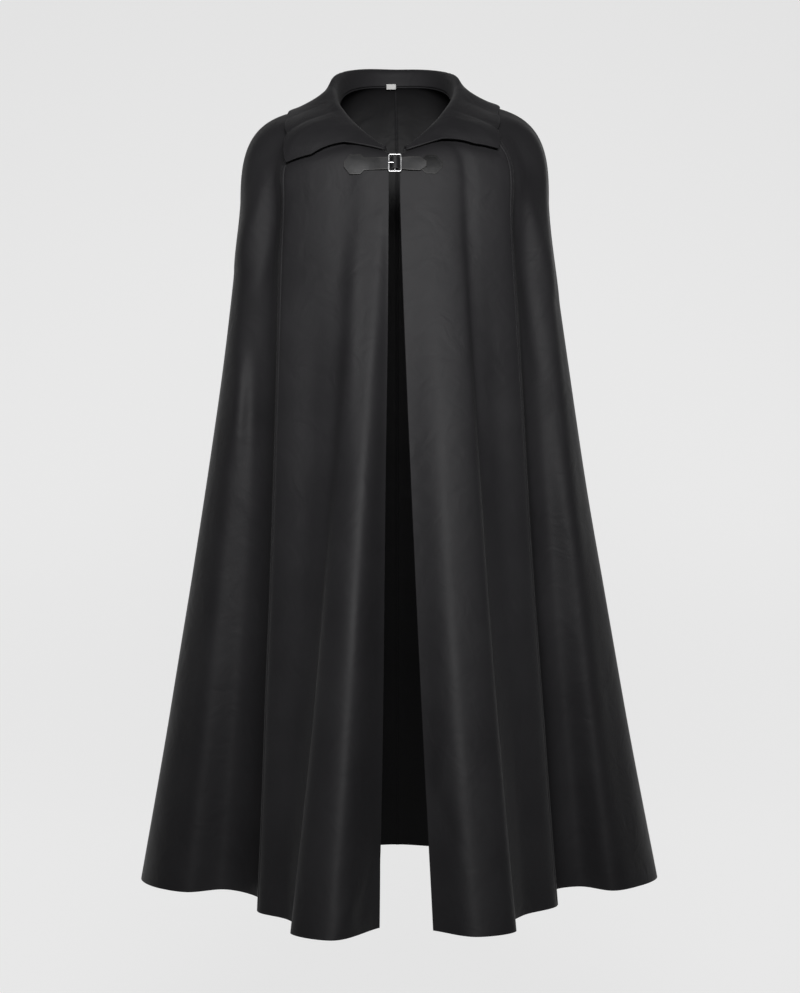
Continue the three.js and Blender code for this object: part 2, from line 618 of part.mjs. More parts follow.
// Prong: an eye round the middle bar, with a point that comes up through the strap's hole on to the
// outer bar
function addProng() {
  const eye = new THREE.Shape();
  const reach = MIDDLE_BAR.half + PRONG.gap;
  const depth = MIDDLE_BAR.thickness / 2 + PRONG.gap;
  const top = BUCKLE.thickness - MIDDLE_BAR.thickness / 2 + PRONG.gap;
  const outerBar = -BUCKLE.halfWidth + BUCKLE.bar;
  eye.moveTo(reach + PRONG.thickness, -depth - PRONG.thickness);
  eye.lineTo(reach + PRONG.thickness, depth + PRONG.thickness);
  eye.lineTo(-reach, depth + PRONG.thickness);
  eye.lineTo(outerBar, top + PRONG.thickness);
  eye.lineTo(-BUCKLE.halfWidth, top + PRONG.thickness);
  eye.lineTo(-BUCKLE.halfWidth - PRONG.tip, top);
  eye.lineTo(outerBar, top);
  eye.lineTo(-reach - PRONG.thickness, depth - PRONG.heelDrop);
  eye.lineTo(-reach - PRONG.thickness, -depth - PRONG.thickness);
  eye.closePath();
  const hole = new THREE.Path();
  hole.moveTo(-reach, -depth);
  hole.lineTo(-reach, depth);
  hole.lineTo(reach, depth);
  hole.lineTo(reach, -depth);
  hole.closePath();
  eye.holes.push(hole);
  const geometry = new THREE.ExtrudeGeometry(eye, { depth: 2 * PRONG.half, bevelEnabled: false });
  geometry.rotateX(Math.PI / 2);
  geometry.translate(0, PRONG.half, 0);
  addOnClasp("buckle_prong", geometry, BUCKLE.lift + MIDDLE_BAR.thickness / 2);
}

// Places a piece made flat, x across, y up and z off the cloth, in the buckle's plane
function addOnClasp(name, geometry, lift) {
  const { middle, across, up, out } = bucklePlane();
  const place = middle.addScaledVector(out, lift);
  geometry.applyMatrix4(new THREE.Matrix4().makeBasis(across, up, out).setPosition(place));
  addPiece(name, geometry, STEEL);
}

// Size tag: a bare slip that hangs down inside from its seam at the foot of the collar's stand
function addLabel() {
  const { x, halfWidth, height, thickness, top } = LABEL;
  const outer = [];
  const inner = [];
  for (const rise of [top, top - height]) {
    const outerRow = [];
    const innerRow = [];
    for (const share of LABEL_COLUMNS) {
      const across = x + share * halfWidth;
      const turn = Math.asin((across - NECK.middle) / NECK.halfWidth);
      const back = neckPoint(-1, 180 + THREE.MathUtils.radToDeg(turn));
      const seam = new THREE.Vector3(across, back.y - GAP, back.z + rise);
      outerRow.push(seam.clone());
      innerRow.push(seam.clone().add(new THREE.Vector3(0, -thickness, 0)));
    }
    outer.push(outerRow);
    inner.push(innerRow);
  }
  addPiece("neck_label", wall(outer, inner), TAG);
}

for (const [name, sign] of [["right", -1], ["left", 1]]) addPanels(makeHalf(name, sign));
addCollar();
addStrap();
addTab();
addBuckle();
addProng();
addLabel();

export default cloak;
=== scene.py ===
# %% [markdown]
# # A long wool cloak on an unseen wearer
# The cloak hangs in its worn form: six flared panels from the neck seam to the hem, a broad turned-down
# collar, and a leather strap and steel buckle at the throat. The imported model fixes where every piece
# is. This lesson gives each of them the surface that the real one has.

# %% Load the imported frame
import math
import bmesh
import bpy
from mathutils import Matrix, Vector, noise


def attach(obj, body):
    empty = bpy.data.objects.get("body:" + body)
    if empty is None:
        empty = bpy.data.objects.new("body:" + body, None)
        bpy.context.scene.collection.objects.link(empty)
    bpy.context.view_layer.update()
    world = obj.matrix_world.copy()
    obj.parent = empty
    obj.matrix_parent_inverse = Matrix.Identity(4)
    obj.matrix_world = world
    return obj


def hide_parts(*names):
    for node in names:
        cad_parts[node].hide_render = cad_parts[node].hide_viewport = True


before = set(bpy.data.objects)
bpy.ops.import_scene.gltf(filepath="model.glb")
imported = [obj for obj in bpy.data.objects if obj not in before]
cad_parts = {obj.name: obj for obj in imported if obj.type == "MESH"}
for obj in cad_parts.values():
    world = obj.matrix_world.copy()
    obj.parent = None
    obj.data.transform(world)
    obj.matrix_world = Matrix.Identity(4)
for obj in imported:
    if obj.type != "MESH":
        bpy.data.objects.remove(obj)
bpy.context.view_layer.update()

print("nodes in the frame:", sorted(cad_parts))

# %% [markdown]
# ## Units and the sizes that shape the cloth
# The tables are in millimetres, as a cutter would write them, and MM turns them into metres. They are
# the same sizes that shape the model's solids, so each finished piece lies in the place of its solid.

# %% Sizes of the cloth
MM = 0.001
CLOTH = 2.0
COLLAR_CLOTH = 3.0
GAP = 0.3
HEM_DROP = 1300.0
CHEST_DROP = 170.0
CHEST_HALF_WIDTH = 256.0
CHEST_FRONT = 140.0
CHEST_BACK = 150.0
CHEST_POWER = 0.91
NECK_MIDDLE = -3.0
NECK_HALF_WIDTH = 92.0
NECK_FRONT = 113.0
NECK_BACK = 92.0
NECK_FRONT_RISE = -108.0
NECK_SIDE_RISE = {"right": -10.0, "left": -3.0}
NECK_BACK_RISE = 45.0
FRONT_RISE_POWER = 1.1
BACK_RISE_POWER = 2.4
NECK_SPREAD = 5.0
SHOULDER_OUT = {"right": 0.59, "left": 0.58}
SHOULDER_FALL = 0.66
BACK_POWER = 1.15
BACK_FROM, BACK_TO = 80.0, 112.0
FLARE_POWER = 1.2
SIGN = {"right": -1, "left": 1}
SIDE = {-1: "right", 1: "left"}

# %% [markdown]
# ## The way round the cloak
# Each row is one fold line of the cloth: how far round the chest it starts, in degrees from the front,
# how far the cloth is drawn in there, and where it meets the hem, out from the middle and back. The
# skirt is ruled from the first to the second, so folds that are deep at the hem fade out at the chest,
# as they do in heavy wool.

# %% Fold lines of each half
WAY_ROUND = {
    "right": [
        ("front edge", 2.1, 0, 26, -264),
        ("front crest", 5.5, 0, 98, -344),
        ("front fold edge", 10.5, 0, 156, -302),
        ("front fold inside", 17, 2, 150, -250),
        ("front fold foot", 24, 0, 166, -212),
        ("front seam", 43, 0, 217, -159),
        ("seam fold inside", 47, 8, 214, -102),
        ("seam fold foot", 51, 14, 230, -46),
        ("side trough", 58, 16, 288, 5),
        ("side ridge", 70, 2, 345, -17),
        ("side shoulder", 78, 0, 388, 8),
        ("widest side", 92, 0, 434, 90),
        ("side seam", 102, 3, 428, 150),
        ("back trough", 114, 6, 384, 190),
        ("back ridge", 127, 0, 372, 268),
        ("back hollow", 142, 4, 270, 290),
        ("inner ridge", 155, 0, 206, 370),
        ("inner hollow", 167, 3, 106, 362),
        ("centre back", 180, 0, 0, 392),
        ("other half", 193, 3, -106, 362),
    ],
    "left": [
        ("front edge", 0.7, 0, 55, -281),
        ("front crest", 10, 0, 118, -322),
        ("front fold edge", 19.5, 0, 176, -291),
        ("front fold inside", 24, 3, 174, -230),
        ("front fold foot", 29, 0, 196, -184),
        ("front seam", 43, 0, 254, -117),
        ("seam fold inside", 47, 8, 252, -52),
        ("seam fold foot", 51, 12, 266, 8),
        ("side trough", 57, 14, 304, 26),
        ("side ridge", 69, 2, 356, -7),
        ("side shoulder", 78, 5, 404, 30),
        ("widest side", 92, 6, 443, 104),
        ("side seam", 102, 6, 433, 162),
        ("back trough", 115, 6, 376, 198),
        ("back ridge", 129, 0, 352, 284),
        ("back hollow", 145, 4, 256, 298),
        ("inner ridge", 157, 0, 188, 378),
        ("inner hollow", 168, 3, 96, 366),
        ("centre back", 180, 0, 0, 392),
        ("other half", 192, 3, -96, 366),
    ],
}


# %% Curves through a table
def mix(a, b, share):
    return a + (b - a) * share


def smooth(value, low, high):
    share = min(max((value - low) / (high - low), 0), 1)
    return share * share * (3 - 2 * share)


def bend(share, power):
    return math.copysign(abs(share) ** power, share)


def through(knots, values, at):
    """A smooth curve through values that stand at rising knots."""
    last = len(knots) - 1
    i = 0
    while i < last - 1 and at > knots[i + 1]:
        i += 1

    def slope(a):
        return (values[a + 1] - values[a]) / (knots[a + 1] - knots[a])

    def tangent(a):
        if a == 0:
            return slope(0)
        if a == last:
            return slope(a - 1)
        before = knots[a] - knots[a - 1]
        after = knots[a + 1] - knots[a]
        return (slope(a - 1) * after + slope(a) * before) / (before + after)

    span = knots[i + 1] - knots[i]
    t = (at - knots[i]) / span
    rise = t * t * (3 - 2 * t)
    ends = values[i] * (1 - rise) + values[i + 1] * rise
    return ends + span * (t * (1 - t) ** 2 * tangent(i) - t * t * (1 - t) * tangent(i + 1))


# %% Neck seam, chest line and shoulders
def neck_point(sign, turn):
    own = math.radians(turn)
    side_rise = NECK_SIDE_RISE[SIDE[sign]]
    if math.cos(own) > 0:
        rise = mix(NECK_FRONT_RISE, side_rise, (max(turn, 0) / 90) ** FRONT_RISE_POWER)
        own += math.radians(NECK_SPREAD) * math.cos(own) ** 2
        reach = NECK_FRONT
    else:
        rise = mix(NECK_BACK_RISE, side_rise, (abs(180 - turn) / 90) ** BACK_RISE_POWER)
        reach = NECK_BACK
    return Vector((NECK_MIDDLE + sign * NECK_HALF_WIDTH * math.sin(own), -reach * math.cos(own), rise))


def chest_point(sign, turn, drawn_in=0):
    across = bend(math.sin(math.radians(turn)), CHEST_POWER)
    along = bend(math.cos(math.radians(turn)), CHEST_POWER)
    reach = CHEST_FRONT if along > 0 else CHEST_BACK
    flat = Vector((sign * CHEST_HALF_WIDTH * across, -reach * along))
    flat *= 1 - drawn_in / flat.length
    return Vector((flat.x, flat.y, -CHEST_DROP))


def shoulder_point(sign, turn, down, drawn_in=0):
    neck = neck_point(sign, turn)
    chest = chest_point(sign, turn, drawn_in)
    share = smooth(turn, BACK_FROM, BACK_TO)
    out = bend(math.sin(down * math.pi / 2), mix(SHOULDER_OUT[SIDE[sign]], BACK_POWER, share))
    fall = 1 - bend(math.cos(down * math.pi / 2), mix(SHOULDER_FALL, BACK_POWER, share))
    return Vector((mix(neck.x, chest.x, out), mix(neck.y, chest.y, out), mix(neck.z, chest.z, fall)))


def shoulder_normal(sign, turn, down):
    step = 0.01
    across = shoulder_point(sign, turn + 1, down) - shoulder_point(sign, turn - 1, down)
    low = shoulder_point(sign, turn, down + step)
    fall = low - shoulder_point(sign, turn, max(down - step, 0))
    return (fall.cross(across) * sign).normalized()


# %% One half of the cloak, from its front edge to the centre back
def make_half(name):
    """place names a line's way along the hem, and point gives the cloth's middle there."""
    names, turns, drawn, outs, backs = (list(column) for column in zip(*WAY_ROUND[name]))
    knots = [0.0]
    for i in range(1, len(outs)):
        knots.append(knots[-1] + math.hypot(outs[i] - outs[i - 1], backs[i] - backs[i - 1]))
    sign = SIGN[name]

    def place(at):
        return knots[names.index(at)]

    def line(along):
        turn = through(knots, turns, along)
        drawn_in = through(knots, drawn, along)
        hem = Vector((sign * through(knots, outs, along), through(knots, backs, along), -HEM_DROP))
        return turn, drawn_in, hem

    def point(fold_line, down):
        turn, drawn_in, hem = fold_line
        if down <= 1:
            return shoulder_point(sign, turn, down, drawn_in)
        chest = chest_point(sign, turn, drawn_in)
        flare = (down - 1) ** FLARE_POWER
        height = mix(chest.z, hem.z, down - 1)
        return Vector((mix(chest.x, hem.x, flare), mix(chest.y, hem.y, flare), height))

    return place, line, point


for half_name in SIGN:
    place, _, _ = make_half(half_name)
    print(half_name, "half hem, mm:", round(place("centre back")))

# %% [markdown]
# ## Creases
# Between the ruled folds the real cloth has softer ones, where it is drawn over the shoulder and where
# it leans on itself. A cloth simulation could make some, but it would also move the cloth out of its
# solid. Here each is a listed line, and the cloth is moved in or out beside it along its own
# normal. They differ in length, depth and slant. A faint stretched noise keeps the rest from being
# ruler-flat, and small ripples stand along the opening's edge, where a hand would hold it.

# %% Listed creases
# part of the cloak, then across and height at the top and at the foot, half width, depth out
CREASES = [
    ("front", -66, -225, -77, -590, 13, 3.2),
    ("front", -203, -107, -257, -285, 17, 7.0),
    ("front", -186, -150, -222, -330, 15, -6.0),
    ("front", -249, -415, -262, -600, 11, 4.5),
    ("front", -232, -390, -240, -640, 13, -4.0),
    ("front", 190, -107, 256, -330, 17, 7.0),
    ("front", 186, -170, 236, -470, 14, -6.0),
    ("front", 250, -520, 300, -800, 18, 3.0),
    ("front", -128, -330, -150, -900, 22, -2.5),
    ("front", 150, -320, 175, -860, 20, -2.5),
    ("front", -60, -420, -90, -1180, 26, 3.0),
    ("front", 62, -560, 100, -1250, 24, 3.0),
    ("front", -330, -760, -372, -1290, 30, -4.0),
    ("front", 345, -800, 395, -1290, 30, -4.0),
    ("front", -30, -1190, -58, -1297, 8, -2.6),
    ("front", -58, -1215, -84, -1299, 12, 2.6),
    ("front", 72, -1020, 60, -1120, 11, 2.4),
    ("front", 58, -1080, 84, -1180, 12, -2.2),
    ("back", -150, -60, -215, -420, 22, 5.0),
    ("back", 160, -70, 228, -390, 20, 4.5),
    ("back", -70, -180, -110, -760, 24, -4.0),
    ("back", 64, -210, 92, -700, 26, -3.5),
    ("back", 0, -120, 10, -520, 30, 2.5),
    ("back", -190, -420, -250, -900, 26, 3.5),
    ("back", 205, -460, 262, -980, 24, 3.0),
    ("collar", -104, 32, -103, -78, 7, -1.6),
    ("collar", 104, 12, 84, -60, 9, -2.0),
]
CREASE_REACH, CREASE_ENDS = 3, 0.8
FRONT_LIMIT, FRONT_FADE = 20.0, 45.0

# hollows that set the cloth back under the collar's front edges: across and height at both ends
LEAF_HOLLOWS = [(-79, -90, -176, -116), (66, -80, 160, -98)]
HOLLOW_REACH, HOLLOW_DEPTH = 9.0, 4.0
UNEVEN_ACROSS, UNEVEN_DOWN, UNEVEN_DEPTH = 55.0, 260.0, 1.6
UNEVEN_FROM, UNEVEN_FULL, UNEVEN_SEED = 60, 240, 3.7
PUCKER_TOP, PUCKER_FOOT, PUCKER_STEP, PUCKER_DEPTH = -520.0, -800.0, 34.0, 1.1
PUCKER_MIDDLE, PUCKER_REACH = 16, 60
PUCKER_WAVER, WAVER_LENGTH = 0.6, 90


def hollow(point, start_x, start_z, end_x, end_z):
    """How near a point of the front is to one of the lines under the collar, from 0 to 1."""
    along = Vector((end_x - start_x, end_z - start_z))
    spot = Vector((point.x - start_x, point.z - start_z))
    share = min(max(spot.dot(along) / along.length_squared, 0), 1)
    away = (spot - along * share).length / HOLLOW_REACH
    return math.exp(-away * away)


def crease_depth(part, point):
    """How far the creases move the cloth out at a point, in millimetres."""
    depth = 0.0
    for kind, top_x, top_z, foot_x, foot_z, half_width, out in CREASES:
        share = (top_z - point.z) / (top_z - foot_z)
        if kind != part or not 0 < share < 1:
            continue
        away = (point.x - mix(top_x, foot_x, share)) / half_width
        if abs(away) < CREASE_REACH:
            depth += out * math.sin(share * math.pi) ** CREASE_ENDS * math.exp(-away * away)
    if part == "front":
        depth -= HOLLOW_DEPTH * max(hollow(point, *line) for line in LEAF_HOLLOWS)
    return depth


def uneven(point):
    """Soft unevenness that runs down the cloth, none at the neck."""
    turn = math.atan2(point.x, point.y) * 180
    spot = Vector((turn / UNEVEN_ACROSS, point.z / UNEVEN_DOWN, UNEVEN_SEED))
    return UNEVEN_DEPTH * noise.noise(spot) * smooth(-point.z, UNEVEN_FROM, UNEVEN_FULL)


def pucker(point, edge_away):
    """Ripples along the wearer's left opening edge, fading within a few centimetres."""
    share = (PUCKER_TOP - point.z) / (PUCKER_TOP - PUCKER_FOOT)
    if not 0 < share < 1 or edge_away > PUCKER_REACH:
        return 0.0
    waver = noise.noise(Vector((0, 0, point.z / WAVER_LENGTH)))
    phase = point.z / PUCKER_STEP + PUCKER_WAVER * waver
    from_middle = (edge_away - PUCKER_MIDDLE) / PUCKER_MIDDLE
    fade = math.sin(share * math.pi) * math.exp(-(from_middle**2))
    return PUCKER_DEPTH * math.sin(phase * 2 * math.pi) * fade


# %% [markdown]
# ## From a flat grid to a sheet of cloth
# Every sheet starts as bmesh's flat grid, whose vertices are moved on to the cloth's middle. Its UV map
# is its own paper pattern: true lengths in metres, measured across from the sheet's middle and down from
# its top, so the weave keeps its scale from the neck to the hem. A Solidify modifier gives the wall its
# thickness, and smooth shading rounds its narrow edges, as a turned and pressed edge is round.


# %% Helpers for sheets
def new_piece(name, bm, slot, *nodes):
    mesh = bpy.data.meshes.new(name)
    bm.to_mesh(mesh)
    bm.free()
    piece = bpy.data.objects.new(name, mesh)
    bpy.context.scene.collection.objects.link(piece)
    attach(piece, "root")
    if nodes:
        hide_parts(*nodes)
    return piece


def pattern_lengths(points):
    """True lengths across each row from its middle, and down the middle column, in metres."""
    middle = len(points[0]) // 2
    downs = [0.0]
    for above, below in zip(points, points[1:]):
        downs.append(downs[-1] + (below[middle] - above[middle]).length)
    flats = []
    for row, down in zip(points, downs):
        across = [0.0]
        for a, b in zip(row, row[1:]):
            across.append(across[-1] + (b - a).length)
        flats.append([((x - across[middle]) * MM, -down * MM) for x in across])
    return flats


def sheet_mesh(points, outward):
    """A grid whose corners stand at the points, in millimetres, with its faces towards outward."""
    rows, columns = len(points) - 1, len(points[0]) - 1
    flats = pattern_lengths(points)
    bm = bmesh.new()
    uv = bm.loops.layers.uv.new("cloth")
    bmesh.ops.create_grid(bm, x_segments=columns, y_segments=rows, size=0.5, calc_uvs=False)
    flat = {}
    for v in bm.verts:
        c, r = round((v.co.x + 0.5) * columns), round((0.5 - v.co.y) * rows)
        v.co = points[r][c] * MM
        flat[v] = flats[r][c]
    for face in bm.faces:
        face.smooth = True
        for loop in face.loops:
            loop[uv].uv = flat[loop.vert]
    bm.normal_update()
    probe = max(bm.faces, key=lambda face: face.calc_area())
    if probe.normal.dot(outward(probe.calc_center_median())) < 0:
        bmesh.ops.reverse_faces(bm, faces=bm.faces[:])
    return bm


def give_wall(piece, thickness):
    wall = piece.modifiers.new("wall", "SOLIDIFY")
    wall.thickness = thickness * MM
    wall.offset = 0


def sheet_area(piece):
    return sum(polygon.area for polygon in piece.data.polygons)


# %% [markdown]
# ## The six panels
# A panel runs from one seam to the next. Its cells are narrow beside the seams, where the cloth dips
# into the stitching, and at the hem. The normals that the creases move along come from the folds
# themselves, so both sides of a seam move alike.

# %% Panels
PANELS = [
    ("front", "front edge", "front seam"),
    ("side", "front seam", "side seam"),
    ("back", "side seam", "centre back"),
]
CELL = 7.0
SHOULDER_ROWS = 36
SKIRT_ROWS = 110
SEAM_DIP = 1.3
SEAM_REACH = 5.0
EDGE_STOPS = [1.4, 3.4]


def panel_stops(start, end):
    """Ways along the hem of a panel's columns, closer together beside its edges."""
    inner = [start + stop for stop in EDGE_STOPS] + [end - stop for stop in reversed(EDGE_STOPS)]
    low, high = inner[1], inner[2]
    count = math.ceil((high - low) / CELL)
    return [start, inner[0], *[mix(low, high, i / count) for i in range(count + 1)], inner[3], end]


def panel_downs():
    """Shares down the panel: 0 at the neck, 1 at the chest line, 2 at the hem."""
    downs = [r / SHOULDER_ROWS for r in range(SHOULDER_ROWS + 1)]
    downs += [1 + r / SKIRT_ROWS for r in range(1, SKIRT_ROWS)]
    return downs + [2 - stop / (HEM_DROP - CHEST_DROP) for stop in reversed(EDGE_STOPS)] + [2]


def outward_from_axis(point):
    return Vector((point.x, point.y, 0))


def panel_points(half_name, start_at, end_at):
    place, line, point = make_half(half_name)
    stops = panel_stops(place(start_at), place(end_at))
    lines = [(line(along - 1), line(along), line(along + 1)) for along in stops]
    last = len(stops) - 1
    points = []
    for down in panel_downs():
        row = []
        for c, (before, here, after) in enumerate(lines):
            middle = point(here, down)
            across = (point(after, down) - point(before, down)).normalized()
            fall = point(here, min(down + 0.01, 2)) - point(here, max(down - 0.01, 0))
            out = (fall.cross(across) * SIGN[half_name]).normalized()
            ahead = smooth(middle.y, FRONT_LIMIT + FRONT_FADE, FRONT_LIMIT - FRONT_FADE)
            depth = mix(crease_depth("back", middle), crease_depth("front", middle), ahead)
            depth += uneven(middle)
            for edge, name in ((0, start_at), (last, end_at)):
                away = abs(stops[c] - stops[edge])
                if name != "front edge" and away < SEAM_REACH:
                    depth -= SEAM_DIP * (1 - away / SEAM_REACH) ** 2
            if half_name == "left":
                depth += pucker(middle, stops[c])
            shift = GAP / 2 * ((c == 0) - (c == last))
            row.append(middle + out * depth + across * shift)
        points.append(row)
    return points


panels = {}
for half_name in SIGN:
    for kind, start_at, end_at in PANELS:
        bm = sheet_mesh(panel_points(half_name, start_at, end_at), outward_from_axis)
        piece = new_piece(f"{kind}_panel_{half_name}", bm, "wool", f"{kind}_{half_name}")
        give_wall(piece, CLOTH)
        panels[piece.name] = piece
        print(piece.name, "faces", len(piece.data.polygons), "cloth area", round(sheet_area(piece), 3))

# %% [markdown]
# ## The collar
# A low stand rises from the neck seam, rolls over and falls as a broad leaf with two long points. It
# could be cut flat and draped, but the roll has to sit where the neck opening shows it, so its section
# at each turn round the neck is a short row of points, with a smooth curve through them.

# %% Collar sections
# name, turn, stand's height, reach over the shoulders, lift of the leaf off the cloth below
COLLAR = {
    "right": [
        ("clasp end", 4, 3, 0.14, 4),
        ("notch", 22, 10, 0.31, 6),
        ("front edge", 31, 13, 0.67, 8.5),
        ("point", 41.5, 16.5, 0.8, 8),
        ("outer edge", 51, 20, 0.44, 5),
        ("shoulder front", 68, 24, 0.26, 4.5),
        ("shoulder", 92, 31, 0.17, 5),
        ("back quarter", 130, 28, 0.3, 5),
        ("centre back", 180, 27, 0.37, 3.5),
    ],
    "left": [
        ("clasp end", 4, 3, 0.14, 4),
        ("notch", 22, 10, 0.2, 6),
        ("front edge", 30, 13, 0.5, 8.5),
        ("point", 39, 16, 0.64, 8),
        ("outer edge", 49, 20, 0.36, 5),
        ("shoulder front", 68, 23, 0.2, 4.5),
        ("shoulder", 92, 28, 0.17, 5),
        ("back quarter", 130, 25, 0.3, 3.5),
        ("centre back", 180, 27, 0.37, 3.5),
    ],
}
COLLAR_FOOT = 0.8
COLLAR_LEAN = 7.0
HALF_WAY_LEAN = 0.4
COLLAR_ROLL = 4.0
ROLL_RISE = 0.7
LEAF_ROWS = 6
LEAF_SPREAD = 1.6
LEAF_FALL = 1.5
COLLAR_STEP = 1.3
COLLAR_ROWS = 44
LEAF_EDGE_STOPS = [2.6, 1.0]


def collar_line(sign, turn, stand, reach, lift):
    neck = neck_point(sign, turn)
    out = chest_point(sign, turn) - neck
    out.z = 0
    out.normalize()
    up = Vector((0, 0, 1))
    foot = neck + shoulder_normal(sign, turn, 0) * (CLOTH / 2 + COLLAR_FOOT)
    lean = COLLAR_LEAN * stand / COLLAR["right"][-1][2]
    inside = COLLAR_CLOTH / 2
    line = [
        foot + out * inside,
        foot + out * (inside + lean * HALF_WAY_LEAN) + up * (stand * 0.5),
        foot + out * (inside + lean) + up * stand,
        foot + out * (inside + lean + COLLAR_ROLL) + up * (stand + COLLAR_ROLL * ROLL_RISE),
    ]
    roll_end = inside + lean + 2 * COLLAR_ROLL
    for i in range(1, LEAF_ROWS + 1):
        share = i / LEAF_ROWS
        rest = (1 - share) ** LEAF_FALL
        down = reach * share**LEAF_SPREAD
        away = up.lerp(shoulder_normal(sign, turn, down), share).normalized()
        surface = shoulder_point(sign, turn, down)
        line.append(surface + out * (roll_end * rest) + away * (lift + stand * rest))
    return line


def fine_line(line):
    """The section's curve, with even steps that close up at the leaf's edge."""
    knots = [0.0]
    for a, b in zip(line, line[1:]):
        knots.append(knots[-1] + (b - a).length)
    axes = [[point[i] for point in line] for i in range(3)]
    length = knots[-1]
    spots = [(length - 4) * r / COLLAR_ROWS for r in range(COLLAR_ROWS + 1)]
    spots += [length - stop for stop in LEAF_EDGE_STOPS] + [length]
    return [Vector([through(knots, axis, spot) for axis in axes]) for spot in spots]


def collar_half(name):
    """Fine sections from the clasp to the centre back."""
    rows = COLLAR[name]
    turns = [row[1] for row in rows]
    stands = [row[2] for row in rows]
    sections = []
    for before, after in zip(rows, rows[1:]):
        count = math.ceil((after[1] - before[1]) / COLLAR_STEP)
        for i in range(count + (after is rows[-1])):
            turn, _, reach, lift = (mix(before[k], after[k], i / count) for k in (1, 2, 3, 4))
            stand = through(turns, stands, turn)
            sections.append(fine_line(collar_line(SIGN[name], turn, stand, reach, lift)))
    return sections


# %% Collar piece
COLLAR_INSIDE_HEIGHT = 60.0


def outward_from_neck(point):
    return Vector((point.x, point.y, COLLAR_INSIDE_HEIGHT * MM))


def creased(points, part):
    """The same grid with its creases pressed in, along the normals of the grid."""
    last_r, last_c = len(points) - 1, len(points[0]) - 1
    moved = []
    for r, row in enumerate(points):
        moved.append([])
        for c, point in enumerate(row):
            along = row[min(c + 1, last_c)] - row[max(c - 1, 0)]
            down = points[min(r + 1, last_r)][c] - points[max(r - 1, 0)][c]
            moved[-1].append(point + down.cross(along).normalized() * crease_depth(part, point))
    return moved


sections = collar_half("right") + collar_half("left")[-2::-1]
collar_points = creased([list(row) for row in zip(*sections)], "collar")
collar_mesh = sheet_mesh(collar_points, outward_from_neck)
collar = new_piece("collar_cloth", collar_mesh, "wool", "collar")
give_wall(collar, COLLAR_CLOTH)
print("collar faces", len(collar.data.polygons), "cloth area", round(sheet_area(collar), 3))

# %% [markdown]
# ## The clasp's plane
# The buckle lies flat across the opening, a little clear of the cloth, and the leather's sewn ends
# bend to the chest. A short search finds the place on the cloth at a given height and way across, the
# buckle's plane comes from two such places, and everything on the clasp is measured in it: x across,
# up along the cloth, and lift off its face.

# %% Clasp sizes
CLASP_RISE = -128.0
CLASP_FLAT, CLASP_BENT = 16.0, 46.0
BUCKLE_X = -3.0
BUCKLE_HALF_WIDTH = 11.0
BUCKLE_HALF_HEIGHT = 15.4
BUCKLE_CORNER = 4.0
BUCKLE_BAR = 2.8
BUCKLE_THICKNESS = 2.0
BUCKLE_LIFT = 4.9
BUCKLE_CLEAR = 0.5
MIDDLE_BAR_HALF = 1.2
SLOT_HALF = 2.2
LEATHER = 2.0
FOLD_LEATHER = 1.0


# %% Places on the front's cloth
# the search's tries, where it starts, how far it looks ahead and the most that it moves at a time
SEARCH_TRIES = 30
START_TURN, START_DOWN = 20.0, 0.4
TURN_STEP, DOWN_STEP = 0.1, 0.001
MOST_TURN, MOST_DOWN = 5, 0.1


def held_in(value, most):
    return min(max(value, -most), most)


def front_place(x, z):
    """The cloth's middle at a way across and a height, found by closing in on it."""
    sign = -1 if x < 0 else 1
    turn, down = START_TURN, START_DOWN
    for _ in range(SEARCH_TRIES):
        here = shoulder_point(sign, turn, down)
        by_turn = (shoulder_point(sign, turn + TURN_STEP, down) - here) / TURN_STEP
        by_down = (shoulder_point(sign, turn, down + DOWN_STEP) - here) / DOWN_STEP
        miss_x, miss_z = x - here.x, z - here.z
        whole = by_turn.x * by_down.z - by_down.x * by_turn.z
        turn += held_in((miss_x * by_down.z - miss_z * by_down.x) / whole, MOST_TURN)
        down += held_in((miss_z * by_turn.x - miss_x * by_turn.z) / whole, MOST_DOWN)
    point = shoulder_point(sign, turn, down)
    up = (point - shoulder_point(sign, turn, down + DOWN_STEP)).normalized()
    return point, shoulder_normal(sign, turn, down), up


def find_buckle_plane():
    left, _, left_up = front_place(BUCKLE_X - BUCKLE_HALF_WIDTH, CLASP_RISE)
    right, _, right_up = front_place(BUCKLE_X + BUCKLE_HALF_WIDTH, CLASP_RISE)
    across = (right - left).normalized()
    out = across.cross(left_up + right_up).normalized()
    up = out.cross(across)
    return (left + right) / 2 + out * (CLOTH / 2 + BUCKLE_CLEAR), across, up, out


MIDDLE, ACROSS, UP, OUT = find_buckle_plane()


def clasp_point(x, up, lift):
    flat = MIDDLE + ACROSS * (x - BUCKLE_X) + UP * up + OUT * lift
    share = smooth(abs(x - BUCKLE_X), CLASP_FLAT, CLASP_BENT)
    if share == 0:
        return flat
    _, out, upward = front_place(x, CLASP_RISE)
    bent = front_place(x, CLASP_RISE + up * upward.z)[0] + out * (CLOTH / 2 + lift)
    return flat.lerp(bent, share)


print("buckle's middle, mm:", tuple(round(value, 1) for value in MIDDLE))
